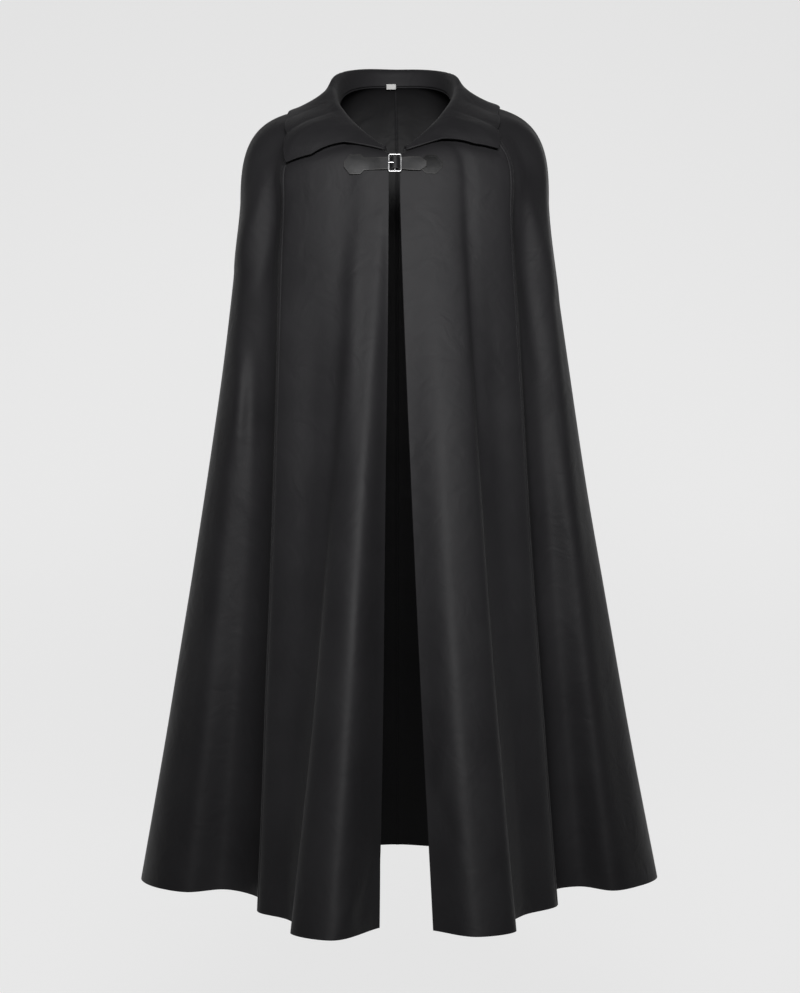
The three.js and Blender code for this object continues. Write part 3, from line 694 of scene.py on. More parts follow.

# %% [markdown]
# ## Leather
# The strap and the tab are cut from flat leather, with six-sided ends that are sewn to the cloth. A
# grid follows the leather's path, and faces are deleted for the prong's hole. Solidify gives the
# thickness and a small bevel the burnished edge. The distance to the cut edge is kept on the mesh, so
# the material can paint it lighter there, as wear and as a painted highlight where the edge catches
# light.

# %% Leather paths
# place across, lift off the cloth, half height
STRAP = [
    (-83, 1.6, 4),
    (-79, 1.6, 9),
    (-74, 1.6, 16.6),
    (-66, 1.6, 16.6),
    (-57, 1.6, 16.6),
    (-52, 1.6, 10.6),
    (-44, 1.7, 10.3),
    (-35, 2.2, 10.3),
    (-26, 3.1, 10.3),
    (-17, 3.6, 10.3),
    (-11.7, 3.4, 10.3),
    (-9.2, 4.6, 10.3),
    (-7.2, 8.1, 10.3),
    (-5.2, 9.6, 10.3),
    (-0.8, 9.6, 10.3),
    (1.2, 8.1, 10.3),
    (3.2, 4.6, 10.3),
    (5.7, 3.4, 10.3),
    (12, 3.6, 10.3),
    (20, 3.6, 11.3),
    (28, 3.6, 11.3),
    (36.5, 3.6, 11.3),
    (42, 3.6, 7.2),
    (46.5, 3.6, 4),
]
STRAP_HOLE = (-9.3, -5.1)
TAB = [
    (72, 1.2, 4),
    (67.5, 1.2, 9),
    (62, 1.2, 15.8),
    (54, 1.2, 15.8),
    (46, 1.2, 15.8),
    (41, 1.2, 10.4),
    (32, 0.8, 10),
    (22, 0.8, 10),
    (12, 0.8, 10),
    (5, 0.8, 10),
]
LEATHER_STEP = 1.6
LEATHER_ROWS = 22
SLOT_EASE = 0.6
RIM_REACH, RIM_FULL = 2.0, 0.2
BURNISHED = 0.35


def refined(path):
    """The same path with steps no longer than LEATHER_STEP, straight between its stations."""
    fine = []
    for a, b in zip(path, path[1:]):
        count = max(1, math.ceil(math.hypot(b[0] - a[0], b[1] - a[1]) / LEATHER_STEP))
        fine += [tuple(mix(a[k], b[k], i / count) for k in range(3)) for i in range(count)]
    return fine + [path[-1]]


def leather_ribbon(name, node, path, thickness, opened):
    fine = refined(path)
    runs = [0.0]
    for a, b in zip(fine, fine[1:]):
        runs.append(runs[-1] + math.hypot(b[0] - a[0], b[1] - a[1]))
    bm = bmesh.new()
    uv = bm.loops.layers.uv.new("leather")
    rim = bm.verts.layers.float.new("rim")
    last = len(fine) - 1
    bmesh.ops.create_grid(bm, x_segments=last, y_segments=LEATHER_ROWS, size=0.5, calc_uvs=False)
    spot, flat = {}, {}
    for v in bm.verts:
        c = round((v.co.x + 0.5) * last)
        x, lift, half = fine[c]
        up = 2 * v.co.y * half
        spot[v] = (x, up)
        flat[v] = (runs[c] * MM, up * MM)
        v.co = clasp_point(x, up, lift) * MM
        v[rim] = smooth(min(half - abs(up), runs[c], runs[-1] - runs[c]), RIM_REACH, RIM_FULL)
    for face in bm.faces:
        face.smooth = True
        for loop in face.loops:
            loop[uv].uv = flat[loop.vert]
    holes = [face for face in bm.faces if all(opened(*spot[v]) for v in face.verts)]
    bmesh.ops.delete(bm, geom=holes, context="FACES")
    bm.normal_update()
    sewn_end = min(bm.faces, key=lambda face: sum(flat[v][0] for v in face.verts))
    if sewn_end.normal.dot(OUT) < 0:
        bmesh.ops.reverse_faces(bm, faces=bm.faces[:])
    piece = new_piece(name, bm, "leather", node)
    give_wall(piece, thickness)
    edge = piece.modifiers.new("burnished edge", "BEVEL")
    edge.width = BURNISHED * MM
    edge.segments = 2
    edge.limit_method = "ANGLE"
    edge.angle_limit = math.radians(50)
    return piece


def in_strap_hole(x, up):
    return STRAP_HOLE[0] <= x <= STRAP_HOLE[1] and abs(up) < SLOT_HALF + SLOT_EASE


# %% Tab with its fold round the middle bar
WRAP = MIDDLE_BAR_HALF + GAP + FOLD_LEATHER / 2
FOLD_LIFT = BUCKLE_LIFT + BUCKLE_THICKNESS / 2
FOLD_RISE = BUCKLE_THICKNESS / 2 + GAP + FOLD_LEATHER / 2
FOLD_HALF = TAB[-1][2]
TAB_FOLD = [
    (BUCKLE_X + WRAP * 0.8, FOLD_LIFT - FOLD_RISE, FOLD_HALF),
    (BUCKLE_X - WRAP * 0.6, FOLD_LIFT - FOLD_RISE, FOLD_HALF),
    (BUCKLE_X - WRAP, FOLD_LIFT - FOLD_RISE * 0.5, FOLD_HALF),
    (BUCKLE_X - WRAP, FOLD_LIFT + FOLD_RISE * 0.5, FOLD_HALF),
    (BUCKLE_X - WRAP * 0.6, FOLD_LIFT + FOLD_RISE, FOLD_HALF),
    (BUCKLE_X + WRAP * 0.6, FOLD_LIFT + FOLD_RISE, FOLD_HALF),
]


def in_tab_slot(x, up):
    return x < TAB[-1][0] and abs(up) < SLOT_HALF + SLOT_EASE


strap = leather_ribbon("clasp_strap_leather", "clasp_strap", STRAP, LEATHER, in_strap_hole)
tab = leather_ribbon("clasp_tab_leather", "clasp_tab", TAB + TAB_FOLD, FOLD_LEATHER, in_tab_slot)
for piece in (strap, tab):
    print(piece.name, "faces", len(piece.data.polygons))

# %% [markdown]
# ## Buckle
# The frame is cast, so its bars are rounded and its corners flow. It could be a plate with bevelled
# edges, but a grid that is rolled up into a tube, and bent round a rounded rectangle, gives the soft
# section everywhere. The same tube makes the middle bar and the prong, whose eye wraps the bar.

# %% Tube from a rolled grid
def in_clasp(x, up, lift):
    """A point of the buckle: x and up from its middle, lift from the middle of its thickness."""
    return (MIDDLE + ACROSS * x + UP * up + OUT * (BUCKLE_LIFT + BUCKLE_THICKNESS / 2 + lift)) * MM


def add_tube(bm, stations, sides, closed, place):
    """A grid rolled up round the stations; place puts a station and an angle in space."""
    count = len(stations) - (0 if closed else 1)
    grid = bmesh.ops.create_grid(bm, x_segments=count, y_segments=sides, size=0.5, calc_uvs=False)
    made = grid["verts"]
    for v in made:
        station = stations[round((v.co.x + 0.5) * count) % len(stations)]
        v.co = place(station, (v.co.y + 0.5) * 2 * math.pi)
    bmesh.ops.remove_doubles(bm, verts=made, dist=1e-7)
    faces = {face for v in made if v.is_valid for face in v.link_faces}
    if not closed:
        ends = {edge for face in faces for edge in face.edges if len(edge.link_faces) == 1}
        faces |= set(bmesh.ops.holes_fill(bm, edges=list(ends), sides=0)["faces"])
    bmesh.ops.recalc_face_normals(bm, faces=list(faces))
    for face in faces:
        face.smooth = len(face.verts) == 4


def rounded_rectangle(half_width, half_height, radius, corner_steps, side_steps):
    """Places round it, each with its direction outward."""
    places = []
    corners = [(1, 1, 0), (-1, 1, 90), (-1, -1, 180), (1, -1, 270)]
    for i, (right, top, start) in enumerate(corners):
        x, y = right * (half_width - radius), top * (half_height - radius)
        for step in range(corner_steps + 1):
            angle = math.radians(start + 90 * step / corner_steps)
            out = (math.cos(angle), math.sin(angle))
            places.append((x + radius * out[0], y + radius * out[1], *out))
        ahead = corners[(i + 1) % 4]
        end_x, end_y = ahead[0] * (half_width - radius), ahead[1] * (half_height - radius)
        here = places[-1]
        there = (end_x + radius * out[0], end_y + radius * out[1])
        for step in range(1, side_steps):
            share = step / side_steps
            places.append((mix(here[0], there[0], share), mix(here[1], there[1], share), *out))
    return places


# %% Buckle frame
CAST_POWER = 0.55
FRAME_SIDES, BAR_SIDES = 20, 16
CORNER_STEPS, SIDE_STEPS = 8, 6
BAR_STEPS = 8
BAR_RADIUS, BAR_HALF_DEPTH = 1.05, 1.0


def frame_place(station, angle):
    x, up, out_x, out_up = station
    side = bend(math.cos(angle), CAST_POWER) * BUCKLE_BAR / 2
    lift = bend(math.sin(angle), CAST_POWER) * BUCKLE_THICKNESS / 2
    return in_clasp(x + out_x * side, up + out_up * side, lift)


def bar_place(up, angle):
    return in_clasp(BAR_RADIUS * math.cos(angle), up, BAR_HALF_DEPTH * math.sin(angle))


frame_reach = BUCKLE_HALF_WIDTH - BUCKLE_BAR / 2
bar_reach = BUCKLE_HALF_HEIGHT - BUCKLE_BAR / 2
corner = BUCKLE_CORNER - BUCKLE_BAR / 2
frame_line = rounded_rectangle(frame_reach, bar_reach, corner, CORNER_STEPS, SIDE_STEPS)
bar_line = [mix(-bar_reach, bar_reach, i / BAR_STEPS) for i in range(BAR_STEPS + 1)]
bm = bmesh.new()
add_tube(bm, frame_line, FRAME_SIDES, True, frame_place)
add_tube(bm, bar_line, BAR_SIDES, False, bar_place)
buckle = new_piece("buckle_frame_steel", bm, "buckle_steel", "buckle_frame")

# %% Prong
EYE_RADIUS = 1.85
EYE_START, EYE_END = 205, 440
EYE_STEPS, EYE_HALF_WIDTH = 16, 1.3
PRONG_THICKNESS = 0.9
PRONG_SIDES, PRONG_POWER = 14, 0.7
# across, lift and half width along the straight part
PRONG_LINE = [
    (-2.6, 1.85, 1.3),
    (-5.2, 1.8, 1.25),
    (-8.2, 1.78, 1.15),
    (-10.4, 1.76, 1.0),
    (-11.6, 1.6, 0.8),
    (-12.0, 1.4, 0.5),
]


def prong_stations():
    stations = []
    for i in range(EYE_STEPS + 1):
        angle = math.radians(mix(EYE_START, EYE_END, i / EYE_STEPS))
        x, lift = EYE_RADIUS * math.cos(angle), EYE_RADIUS * math.sin(angle)
        stations.append((x, lift, EYE_HALF_WIDTH))
    line = stations + PRONG_LINE
    turned = []
    for i, (x, lift, half) in enumerate(line):
        ahead, behind = line[min(i + 1, len(line) - 1)], line[max(i - 1, 0)]
        way = Vector((ahead[0] - behind[0], ahead[1] - behind[1])).normalized()
        turned.append((x, lift, half, -way.y, way.x))
    return turned


def prong_place(station, angle):
    x, lift, half, out_x, out_lift = station
    rise = bend(math.sin(angle), PRONG_POWER) * PRONG_THICKNESS / 2
    up = bend(math.cos(angle), PRONG_POWER) * half
    return in_clasp(x + out_x * rise, up, lift + out_lift * rise)


bm = bmesh.new()
add_tube(bm, prong_stations(), PRONG_SIDES, False, prong_place)
prong = new_piece("buckle_prong_steel", bm, "buckle_steel", "buckle_prong")
for piece in (buckle, prong):
    print(piece.name, "faces", len(piece.data.polygons))

# %% [markdown]
# ## Stitches on the leather
# The six-sided ends are sewn to the cloth with waxed thread, just inside their edges. Each stitch is a
# small flattened ball, drawn out along the line and sunk half into the leather. They are joined into
# one mesh, since nobody moves a single stitch.

# %% Stitched lines
STITCH_PITCH, STITCH_LENGTH, STITCH_WIDTH = 3.0, 2.2, 0.55
STITCH_FLATNESS = 1.3
# corners of the sewn line on each end: across, and up from the middle line
STRAP_SEWING = [
    (-53.5, 9.4),
    (-57.5, 13.8),
    (-72.5, 13.8),
    (-80.3, 2.4),
    (-80.3, -2.4),
    (-72.5, -13.8),
    (-57.5, -13.8),
    (-53.5, -9.4),
]
TAB_SEWING = [(50, 13), (60.6, 13), (69.4, 2.4), (69.4, -2.4), (60.6, -13), (50, -13)]
SEWING_LIFT = {"strap": 1.6 + LEATHER / 2, "tab": 1.2 + FOLD_LEATHER / 2}


def add_stitch(bm, start, end, out):
    along = (end - start).normalized()
    turn = Matrix((along, out.cross(along), out)).transposed().to_4x4()
    half = STITCH_WIDTH / 2
    size = Matrix.Diagonal((STITCH_LENGTH / 2, half, half / STITCH_FLATNESS, 1))
    place = Matrix.Translation((start + end) / 2 * MM) @ turn @ Matrix.Scale(MM, 4) @ size
    made = bmesh.ops.create_uvsphere(bm, u_segments=8, v_segments=6, radius=1, matrix=place)
    for v in made["verts"]:
        for face in v.link_faces:
            face.smooth = True


def sew(bm, corners, lift):
    for (x0, up0), (x1, up1) in zip(corners, corners[1:]):
        count = max(1, round(math.hypot(x1 - x0, up1 - up0) / STITCH_PITCH))
        for i in range(count):
            reach = STITCH_LENGTH / STITCH_PITCH / 2
            shares = [(i + 0.5 + side * reach) / count for side in (-1, 1)]
            start, end = (clasp_point(mix(x0, x1, s), mix(up0, up1, s), lift) for s in shares)
            above = clasp_point(mix(x0, x1, shares[0]), mix(up0, up1, shares[0]), lift + 1)
            add_stitch(bm, start, end, (above - start).normalized())


bm = bmesh.new()
sew(bm, STRAP_SEWING, SEWING_LIFT["strap"])
sew(bm, TAB_SEWING, SEWING_LIFT["tab"])
sewing = new_piece("leather_stitches", bm, "leather")
print("leather stitches, faces", len(sewing.data.polygons))

# %% [markdown]
# ## Size tag
# A bare slip of woven ribbon, caught in the neck seam inside the back. It follows the seam's curve and
# stands a little away from the cloth at its lower corners, as stiff ribbon does.

# %% Tag
LABEL_X, LABEL_TOP = -10.0, 5.0
LABEL_HALF_WIDTH, LABEL_HEIGHT, LABEL_THICKNESS = 8.0, 9.0, 0.5
LABEL_CURL, LABEL_CURL_MIDDLE = 0.5, 0.4
LABEL_COLUMNS, LABEL_ROWS = 20, 12


def label_points():
    points = []
    for r in range(LABEL_ROWS + 1):
        down = r / LABEL_ROWS
        row = []
        for c in range(LABEL_COLUMNS + 1):
            share = 2 * c / LABEL_COLUMNS - 1
            x = LABEL_X + share * LABEL_HALF_WIDTH
            turn = math.degrees(math.asin((x - NECK_MIDDLE) / NECK_HALF_WIDTH))
            back = neck_point(-1, 180 + turn)
            curl = LABEL_CURL * down**2 * (LABEL_CURL_MIDDLE + share**2)
            y = back.y - GAP - LABEL_THICKNESS / 2 - curl
            row.append(Vector((x, y, back.z + LABEL_TOP - down * LABEL_HEIGHT)))
        points.append(row)
    return points


label_mesh = sheet_mesh(label_points(), lambda point: Vector((0, -1, 0)))
label = new_piece("neck_label_ribbon", label_mesh, "label_cloth", "neck_label")
give_wall(label, LABEL_THICKNESS)
print("tag faces", len(label.data.polygons))

# %% [markdown]
# ## Surface effects as node groups
# Wool, leather, steel and ribbon differ in their shaders, but share two effects: the regular relief of
# a weave or a grain, and slow patches of wear and handling. Each is a shader node group, built once.
# A group puts out only heights and masks, and every material feeds them to its own Principled shader.

# %% Group helpers
VECTOR, NUMBER = "NodeSocketVector", "NodeSocketFloat"


def new_group(name, inputs, outputs):
    """A node group; inputs are name, socket type and value, and outputs are name and type."""
    group = bpy.data.node_groups.new(name, "ShaderNodeTree")
    for socket_name, kind, value in inputs:
        socket = group.interface.new_socket(name=socket_name, in_out="INPUT", socket_type=kind)
        if value is not None:
            socket.default_value = value
    for socket_name, kind in outputs:
        group.interface.new_socket(name=socket_name, in_out="OUTPUT", socket_type=kind)
    return group, group.nodes.new("NodeGroupInput"), group.nodes.new("NodeGroupOutput")


def feed(tree, socket, value):
    """Links a socket to another, or sets it to a value."""
    if isinstance(value, bpy.types.NodeSocket):
        tree.links.new(value, socket)
    else:
        socket.default_value = value


def set_inputs(tree, node, **inputs):
    """Feeds a node's inputs; an underscore in an input's name stands for a space."""
    for name, value in inputs.items():
        feed(tree, node.inputs[name.replace("_", " ")], value)


def add_node(tree, kind, settings=None, **inputs):
    """A node with its settings and its inputs."""
    node = tree.nodes.new(kind)
    for key, value in (settings or {}).items():
        setattr(node, key, value)
    set_inputs(tree, node, **inputs)
    return node


def add_math(tree, operation, first, second, **settings):
    node = add_node(tree, "ShaderNodeMath", {"operation": operation, **settings})
    feed(tree, node.inputs[0], first)
    feed(tree, node.inputs[1], second)
    return node.outputs[0]


def add_noise(tree, vector, scale, **inputs):
    node = add_node(tree, "ShaderNodeTexNoise", Vector=vector, Scale=scale, **inputs)
    return node.outputs["Fac"]


def add_scaled(tree, vector, size):
    """The same vector, stretched; size is how many times finer the pattern gets along each axis."""
    return add_node(tree, "ShaderNodeMapping", Vector=vector, Scale=size).outputs[0]


# %% Woven relief
def make_weave_group():
    """Twill lines with fibres over them; Pitch is threads to the metre, Nap how much the fibres hide."""
    group, source, sink = new_group(
        "woven cloth",
        [("Vector", VECTOR, None), ("Pitch", NUMBER, 400.0), ("Nap", NUMBER, 0.5)],
        [("Height", NUMBER), ("Fibres", NUMBER)],
    )
    vector, pitch, nap = (source.outputs[name] for name in ("Vector", "Pitch", "Nap"))
    diagonal = {"bands_direction": "DIAGONAL"}
    wave = add_node(group, "ShaderNodeTexWave", diagonal, Vector=vector, Scale=pitch, Distortion=0.6)
    brushed = add_scaled(group, vector, (1.0, 0.35, 1.0))
    fibres = add_noise(group, brushed, add_math(group, "MULTIPLY", pitch, 4.0), Detail=4.0)
    twill = wave.outputs["Fac"]
    blend = add_node(group, "ShaderNodeMix", {"data_type": "FLOAT"}, Factor=nap, A=twill, B=fibres)
    group.links.new(blend.outputs["Result"], sink.inputs["Height"])
    group.links.new(fibres, sink.inputs["Fibres"])
    return group


# %% Slow patches
def make_patches_group():
    """Broad soft patches, from 0 to 1; Size is how many there are to the metre."""
    group, source, sink = new_group(
        "handled patches",
        [("Vector", VECTOR, None), ("Size", NUMBER, 10.0), ("Contrast", NUMBER, 1.0)],
        [("Patches", NUMBER), ("Creasing", NUMBER)],
    )
    vector, size, contrast = (source.outputs[name] for name in ("Vector", "Size", "Contrast"))
    broad = add_noise(group, vector, size, Detail=3.0)
    centred = add_math(group, "SUBTRACT", broad, 0.5)
    swing = add_math(group, "MULTIPLY", centred, add_math(group, "MULTIPLY", contrast, 2.0))
    patches = add_math(group, "ADD", swing, 0.5, use_clamp=True)
    small = add_noise(group, vector, add_math(group, "MULTIPLY", size, 2.6), Detail=2.0, Distortion=0.8)
    group.links.new(patches, sink.inputs["Patches"])
    group.links.new(small, sink.inputs["Creasing"])
    return group


WEAVE = make_weave_group()
PATCHES = make_patches_group()
print("node groups:", WEAVE.name, "and", PATCHES.name)

# %% [markdown]
# ## Black wool
# A heavy wool coating, milled and pressed until the twill nearly closes up, with a short nap that gives
# it a low, satin-like sheen. The base is nearly black, lifted a little where the nap stands. The panels'
# inside faces get a darker copy of the same wool, which is painted shade for the cloak's dark inside.
# Twill and fibres are bump from the cloth's own pattern, so they run with each panel, and the wider
# unevenness reads object coordinates, so it carries on across the seams.

# %% Material helpers
def new_material(name, **fixed):
    """A material whose shader's sockets are set; returns it with its tree and shader."""
    material = bpy.data.materials.new(name)
    material.use_nodes = True
    tree = material.node_tree
    shader = tree.nodes["Principled BSDF"]
    set_inputs(tree, shader, **fixed)
    return material, tree, shader


def use_group(tree, group, **inputs):
    return add_node(tree, "ShaderNodeGroup", {"node_tree": group}, **inputs).outputs


def object_place(tree):
    return add_node(tree, "ShaderNodeTexCoord").outputs["Object"]


def pattern_place(tree, uv_map):
    return add_node(tree, "ShaderNodeUVMap", {"uv_map": uv_map}).outputs[0]


# a colour mix keeps its factor in input 0, its colours in 6 and 7, and its result in output 2
def colour_between(tree, mask, dark, light):
    """From dark to light, each a colour or a socket, as the mask goes from 0 to 1."""
    node = add_node(tree, "ShaderNodeMix", {"data_type": "RGBA"})
    feed(tree, node.inputs[0], mask)
    for socket, colour in ((node.inputs[6], dark), (node.inputs[7], light)):
        feed(tree, socket, (*colour, 1) if isinstance(colour, tuple) else colour)
    return node.outputs[2]


def value_between(tree, mask, low, high):
    return add_node(tree, "ShaderNodeMapRange", Value=mask, To_Min=low, To_Max=high).outputs[0]


def bumped(tree, shader, *reliefs):
    """Lays bumps over one another, each a height, its strength and its depth in metres."""
    normal = None
    for height, strength, depth in reliefs:
        node = add_node(tree, "ShaderNodeBump", Height=height, Strength=strength, Distance=depth)
        if normal:
            tree.links.new(normal, node.inputs["Normal"])
        normal = node.outputs[0]
    tree.links.new(normal, shader.inputs["Normal"])


# %% Wool
WOOL_DARK = (0.0155, 0.015, 0.0163)
WOOL_LIGHT = (0.0265, 0.0259, 0.0277)
# the panels' inside faces: a darker copy of the wool, painted shade for the inside of the cloak
INSIDE_SHADE_DARK = (0.0078, 0.0076, 0.0082)
INSIDE_SHADE_LIGHT = (0.0135, 0.0132, 0.014)
TWILL_PITCH = 444.0


def make_wool(name, dark, light):
    sheen = {"Sheen_Weight": 0.03, "Sheen_Roughness": 0.35}
    material, tree, shader = new_material(name, Specular_IOR_Level=0.16, **sheen)
    pattern = pattern_place(tree, "cloth")
    weave = use_group(tree, WEAVE, Vector=pattern, Pitch=TWILL_PITCH, Nap=0.62)
    patches = use_group(tree, PATCHES, Vector=object_place(tree), Size=9.0, Contrast=0.9)
    nap = add_math(tree, "MULTIPLY", weave["Fibres"], patches["Patches"])
    colour = colour_between(tree, nap, dark, light)
    roughness = value_between(tree, patches["Patches"], 0.52, 0.62)
    set_inputs(tree, shader, Base_Color=colour, Roughness=roughness)
    bumped(tree, shader, (patches["Creasing"], 0.35, 0.004), (weave["Height"], 0.35, 0.0003))
    return material


wool = make_wool("black wool", WOOL_DARK, WOOL_LIGHT)
# the darker copy is painted shade, not a different cloth
inside_shade_wool = make_wool("black wool, painted inside shade", INSIDE_SHADE_DARK, INSIDE_SHADE_LIGHT)
for piece in [*panels.values(), collar]:
    piece.data.materials.append(wool)
# the panels' inside faces take the darker copy, painted shade
for piece in panels.values():
    piece.data.materials.append(inside_shade_wool)
    piece.modifiers["wall"].material_offset = 1
print("wool pieces:", len(panels) + 1)

# %% [markdown]
# ## Leather, thread, steel and ribbon
# The leather is smooth black hide, worn lighter along its cut edges, and that lighter edge is also a
# painted highlight. The tab is a darker, duller copy of the strap's leather, which is painted shade. The
# thread is black too, and waxed. The buckle is bright nickel-plated steel with hairline scratches, and
# the tag a white ribbon in a weave far finer than the wool's.

# %% Leather and thread
STRAP_DARK = (0.0095, 0.0095, 0.0102)
STRAP_LIGHT = (0.0155, 0.0153, 0.0161)
# the tab: a darker copy of the strap's leather, painted shade
TAB_SHADE_DARK = (0.004, 0.004, 0.0043)
TAB_SHADE_LIGHT = (0.0066, 0.0066, 0.007)
# the cut edges' colour: lighter from wear, and a painted highlight where the edge catches light
WORN_EDGE_AND_HIGHLIGHT = (0.06, 0.058, 0.056)
THREAD_DARK = (0.016, 0.016, 0.017)
THREAD_LIGHT = (0.05, 0.05, 0.052)
PORES = 1300.0


def make_leather(name, dark, light, shine):
    material, tree, shader = new_material(name, Specular_IOR_Level=shine)
    patches = use_group(tree, PATCHES, Vector=object_place(tree), Size=70.0, Contrast=1.1)
    edges = {"feature": "DISTANCE_TO_EDGE"}
    pattern = pattern_place(tree, "leather")
    pores = add_node(tree, "ShaderNodeTexVoronoi", edges, Vector=pattern, Scale=PORES)
    grain = value_between(tree, pores.outputs["Distance"], 0.0, 1.6)
    rim = add_node(tree, "ShaderNodeAttribute", {"attribute_name": "rim"}).outputs["Fac"]
    # near the cut edge the hide is painted lighter, as wear and as painted highlight
    edge_wear_and_highlight = add_math(tree, "MULTIPLY", rim, patches["Creasing"])
    hide = colour_between(tree, patches["Patches"], dark, light)
    colour = colour_between(tree, edge_wear_and_highlight, hide, WORN_EDGE_AND_HIGHLIGHT)
    roughness = value_between(tree, patches["Patches"], 0.42, 0.56)
    set_inputs(tree, shader, Base_Color=colour, Roughness=roughness)
    bumped(tree, shader, (patches["Creasing"], 0.1, 0.0012), (grain, 0.35, 0.00012))
    return material


def make_thread():
    material, tree, shader = new_material("waxed thread", Roughness=0.55)
    weave = use_group(tree, WEAVE, Vector=object_place(tree), Pitch=1400.0, Nap=0.25)
    colour = colour_between(tree, weave["Height"], THREAD_DARK, THREAD_LIGHT)
    set_inputs(tree, shader, Base_Color=colour)
    bumped(tree, shader, (weave["Height"], 0.5, 0.0001))
    return material


strap_leather = make_leather("black leather", STRAP_DARK, STRAP_LIGHT, shine=0.34)
# the tab's darker, duller copy of the leather is painted shade
tab_leather = make_leather("black leather of the tab, painted shade", TAB_SHADE_DARK, TAB_SHADE_LIGHT, shine=0.19)
strap.data.materials.append(strap_leather)
tab.data.materials.append(tab_leather)
sewing.data.materials.append(make_thread())


# %% Steel
STEEL_DARK = (0.36, 0.36, 0.363)
STEEL_LIGHT = (0.52, 0.52, 0.523)


def make_steel():
    material, tree, shader = new_material("bright steel", Metallic=1.0)
    place = object_place(tree)
    patches = use_group(tree, PATCHES, Vector=place, Size=160.0, Contrast=1.2)
    scratches = add_noise(tree, add_scaled(tree, place, (1.0, 1.0, 14.0)), 420.0)
    colour = colour_between(tree, patches["Patches"], STEEL_DARK, STEEL_LIGHT)
    roughness = value_between(tree, patches["Patches"], 0.3, 0.42)
    set_inputs(tree, shader, Base_Color=colour, Roughness=roughness)
    bumped(tree, shader, (scratches, 0.12, 0.0001))
    return material


steel = make_steel()
for piece in (buckle, prong):
    piece.data.materials.append(steel)


# %% Ribbon
RIBBON_DARK = (0.46, 0.455, 0.447)
RIBBON_LIGHT = (0.6, 0.595, 0.587)


def make_ribbon():
    material, tree, shader = new_material("white ribbon", Sheen_Weight=0.1, Sheen_Roughness=0.4)
    pattern = pattern_place(tree, "cloth")
    weave = use_group(tree, WEAVE, Vector=pattern, Pitch=1500.0, Nap=0.2)
    patches = use_group(tree, PATCHES, Vector=pattern, Size=120.0, Contrast=0.8)
    shade = add_math(tree, "MULTIPLY", weave["Height"], patches["Patches"])
    colour = colour_between(tree, shade, RIBBON_DARK, RIBBON_LIGHT)
    roughness = value_between(tree, weave["Fibres"], 0.5, 0.7)
    set_inputs(tree, shader, Base_Color=colour, Roughness=roughness)
    bumped(tree, shader, (weave["Height"], 0.4, 0.0001))
    return material


label.data.materials.append(make_ribbon())
print("materials:", sorted(material.name for material in bpy.data.materials))

# %% [markdown]
# ## Stage, light and camera
# The cloak is seen against an even pale sweep. A soft lamp above the camera, whose beam is held in by a
# grid, lights the chest most and fades down the skirt. Black cloth would lose its form in light from
# all round, so the sweep glows only behind it, and the air lights it hardly at all. Both still look
# pale to the camera from every side, and the glow leaves no shadow on the sweep.

# %% Stage
# the sweep's section in metres: back, and up from the floor
SWEEP = [(-9, 0), (2.6, 0), (3.6, 0.15), (4.3, 0.7), (4.5, 1.6), (4.55, 9)]
FLOOR = -1.9
HALF_SWEEP = 9
SWEEP_GLOW = 0.7
GLOW_FROM, GLOW_TO = 0.5, 1.5
UNLIT = (0.1, 0.1, 0.1)
PALE_DARK, PALE_LIGHT = (0.29, 0.29, 0.29), (0.3, 0.3, 0.3)
bm = bmesh.new()
profile = [bm.verts.new((-HALF_SWEEP, y, FLOOR + z)) for y, z in SWEEP]
edges = [bm.edges.new(pair) for pair in zip(profile, profile[1:])]
made = bmesh.ops.extrude_edge_only(bm, edges=edges)
shifted = [item for item in made["geom"] if isinstance(item, bmesh.types.BMVert)]
bmesh.ops.translate(bm, vec=(2 * HALF_SWEEP, 0, 0), verts=shifted)
for face in bm.faces:
    face.smooth = True
mesh = bpy.data.meshes.new("studio_sweep")
bm.to_mesh(mesh)
bm.free()
sweep = bpy.data.objects.new("studio_sweep", mesh)
bpy.context.scene.collection.objects.link(sweep)
soft = sweep.modifiers.new("round", "SUBSURF")
soft.levels = soft.render_levels = 3


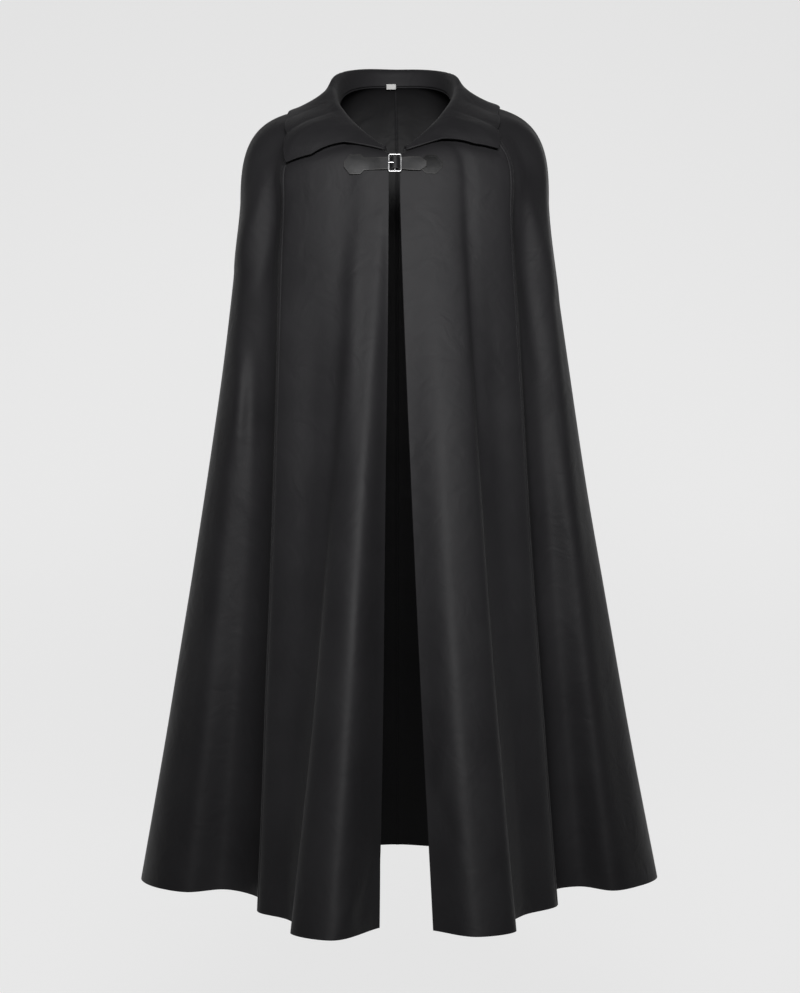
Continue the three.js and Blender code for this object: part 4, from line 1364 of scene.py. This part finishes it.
def make_pale():
    """Pale all over to the camera, and a light only from GLOW_FROM metres back."""
    material, tree, shader = new_material("pale sweep", Roughness=1.0, Specular_IOR_Level=0.0)
    place = object_place(tree)
    away = add_node(tree, "ShaderNodeSeparateXYZ", Vector=place).outputs["Y"]
    soft = {"interpolation_type": "SMOOTHSTEP"}
    glow = add_node(
        tree, "ShaderNodeMapRange", soft, Value=away, From_Min=GLOW_FROM, From_Max=GLOW_TO
    )
    seen = add_node(tree, "ShaderNodeLightPath").outputs["Is Camera Ray"]
    glowing = add_math(tree, "MAXIMUM", glow.outputs[0], seen)
    light = colour_between(tree, glowing, UNLIT, (1, 1, 1))
    patches = use_group(tree, PATCHES, Vector=place, Size=0.7, Contrast=0.6)
    paint = colour_between(tree, patches["Patches"], PALE_DARK, PALE_LIGHT)
    set_inputs(tree, shader, Base_Color=paint, Emission_Color=light, Emission_Strength=SWEEP_GLOW)
    return material


sweep.data.materials.append(make_pale())


# %% Lights
def soft_lamp(name, place, towards, size, watts, beam):
    data = bpy.data.lights.new(name, "AREA")
    data.shape = "RECTANGLE"
    data.size, data.size_y = size
    data.energy = watts
    data.spread = math.radians(beam)
    lamp = bpy.data.objects.new(name, data)
    aim = (Vector(towards) - Vector(place)).to_track_quat("-Z", "Y").to_matrix().to_4x4()
    lamp.matrix_world = Matrix.Translation(place) @ aim
    bpy.context.scene.collection.objects.link(lamp)


soft_lamp("key", (0.05, -3.0, 0.24), (0, 0, -0.34), (1.3, 0.6), watts=17.5, beam=72)

AIR_LIGHT, AIR_SEEN = 0.02, 0.78
world = bpy.data.worlds.new("studio")
bpy.context.scene.world = world
world.use_nodes = True
air = world.node_tree
seen = add_node(air, "ShaderNodeLightPath").outputs["Is Camera Ray"]
strength = value_between(air, seen, AIR_LIGHT, AIR_SEEN)
set_inputs(air, air.nodes["Background"], Color=(0.99, 0.995, 1, 1), Strength=strength)
bpy.context.scene.view_settings.view_transform = "Standard"

# %% Camera
EYE = Vector((0.005, -3.0, -0.651))
LENS = 65.91
camera_data = bpy.data.cameras.new("camera")
camera_data.lens = LENS
camera_data.sensor_width = 36
camera = bpy.data.objects.new("camera", camera_data)
camera.matrix_world = Matrix.Translation(EYE) @ Matrix.Rotation(math.radians(90), 4, "X")
bpy.context.scene.collection.objects.link(camera)
bpy.context.scene.camera = camera
print("camera at", tuple(EYE), "with a lens of", LENS, "mm")
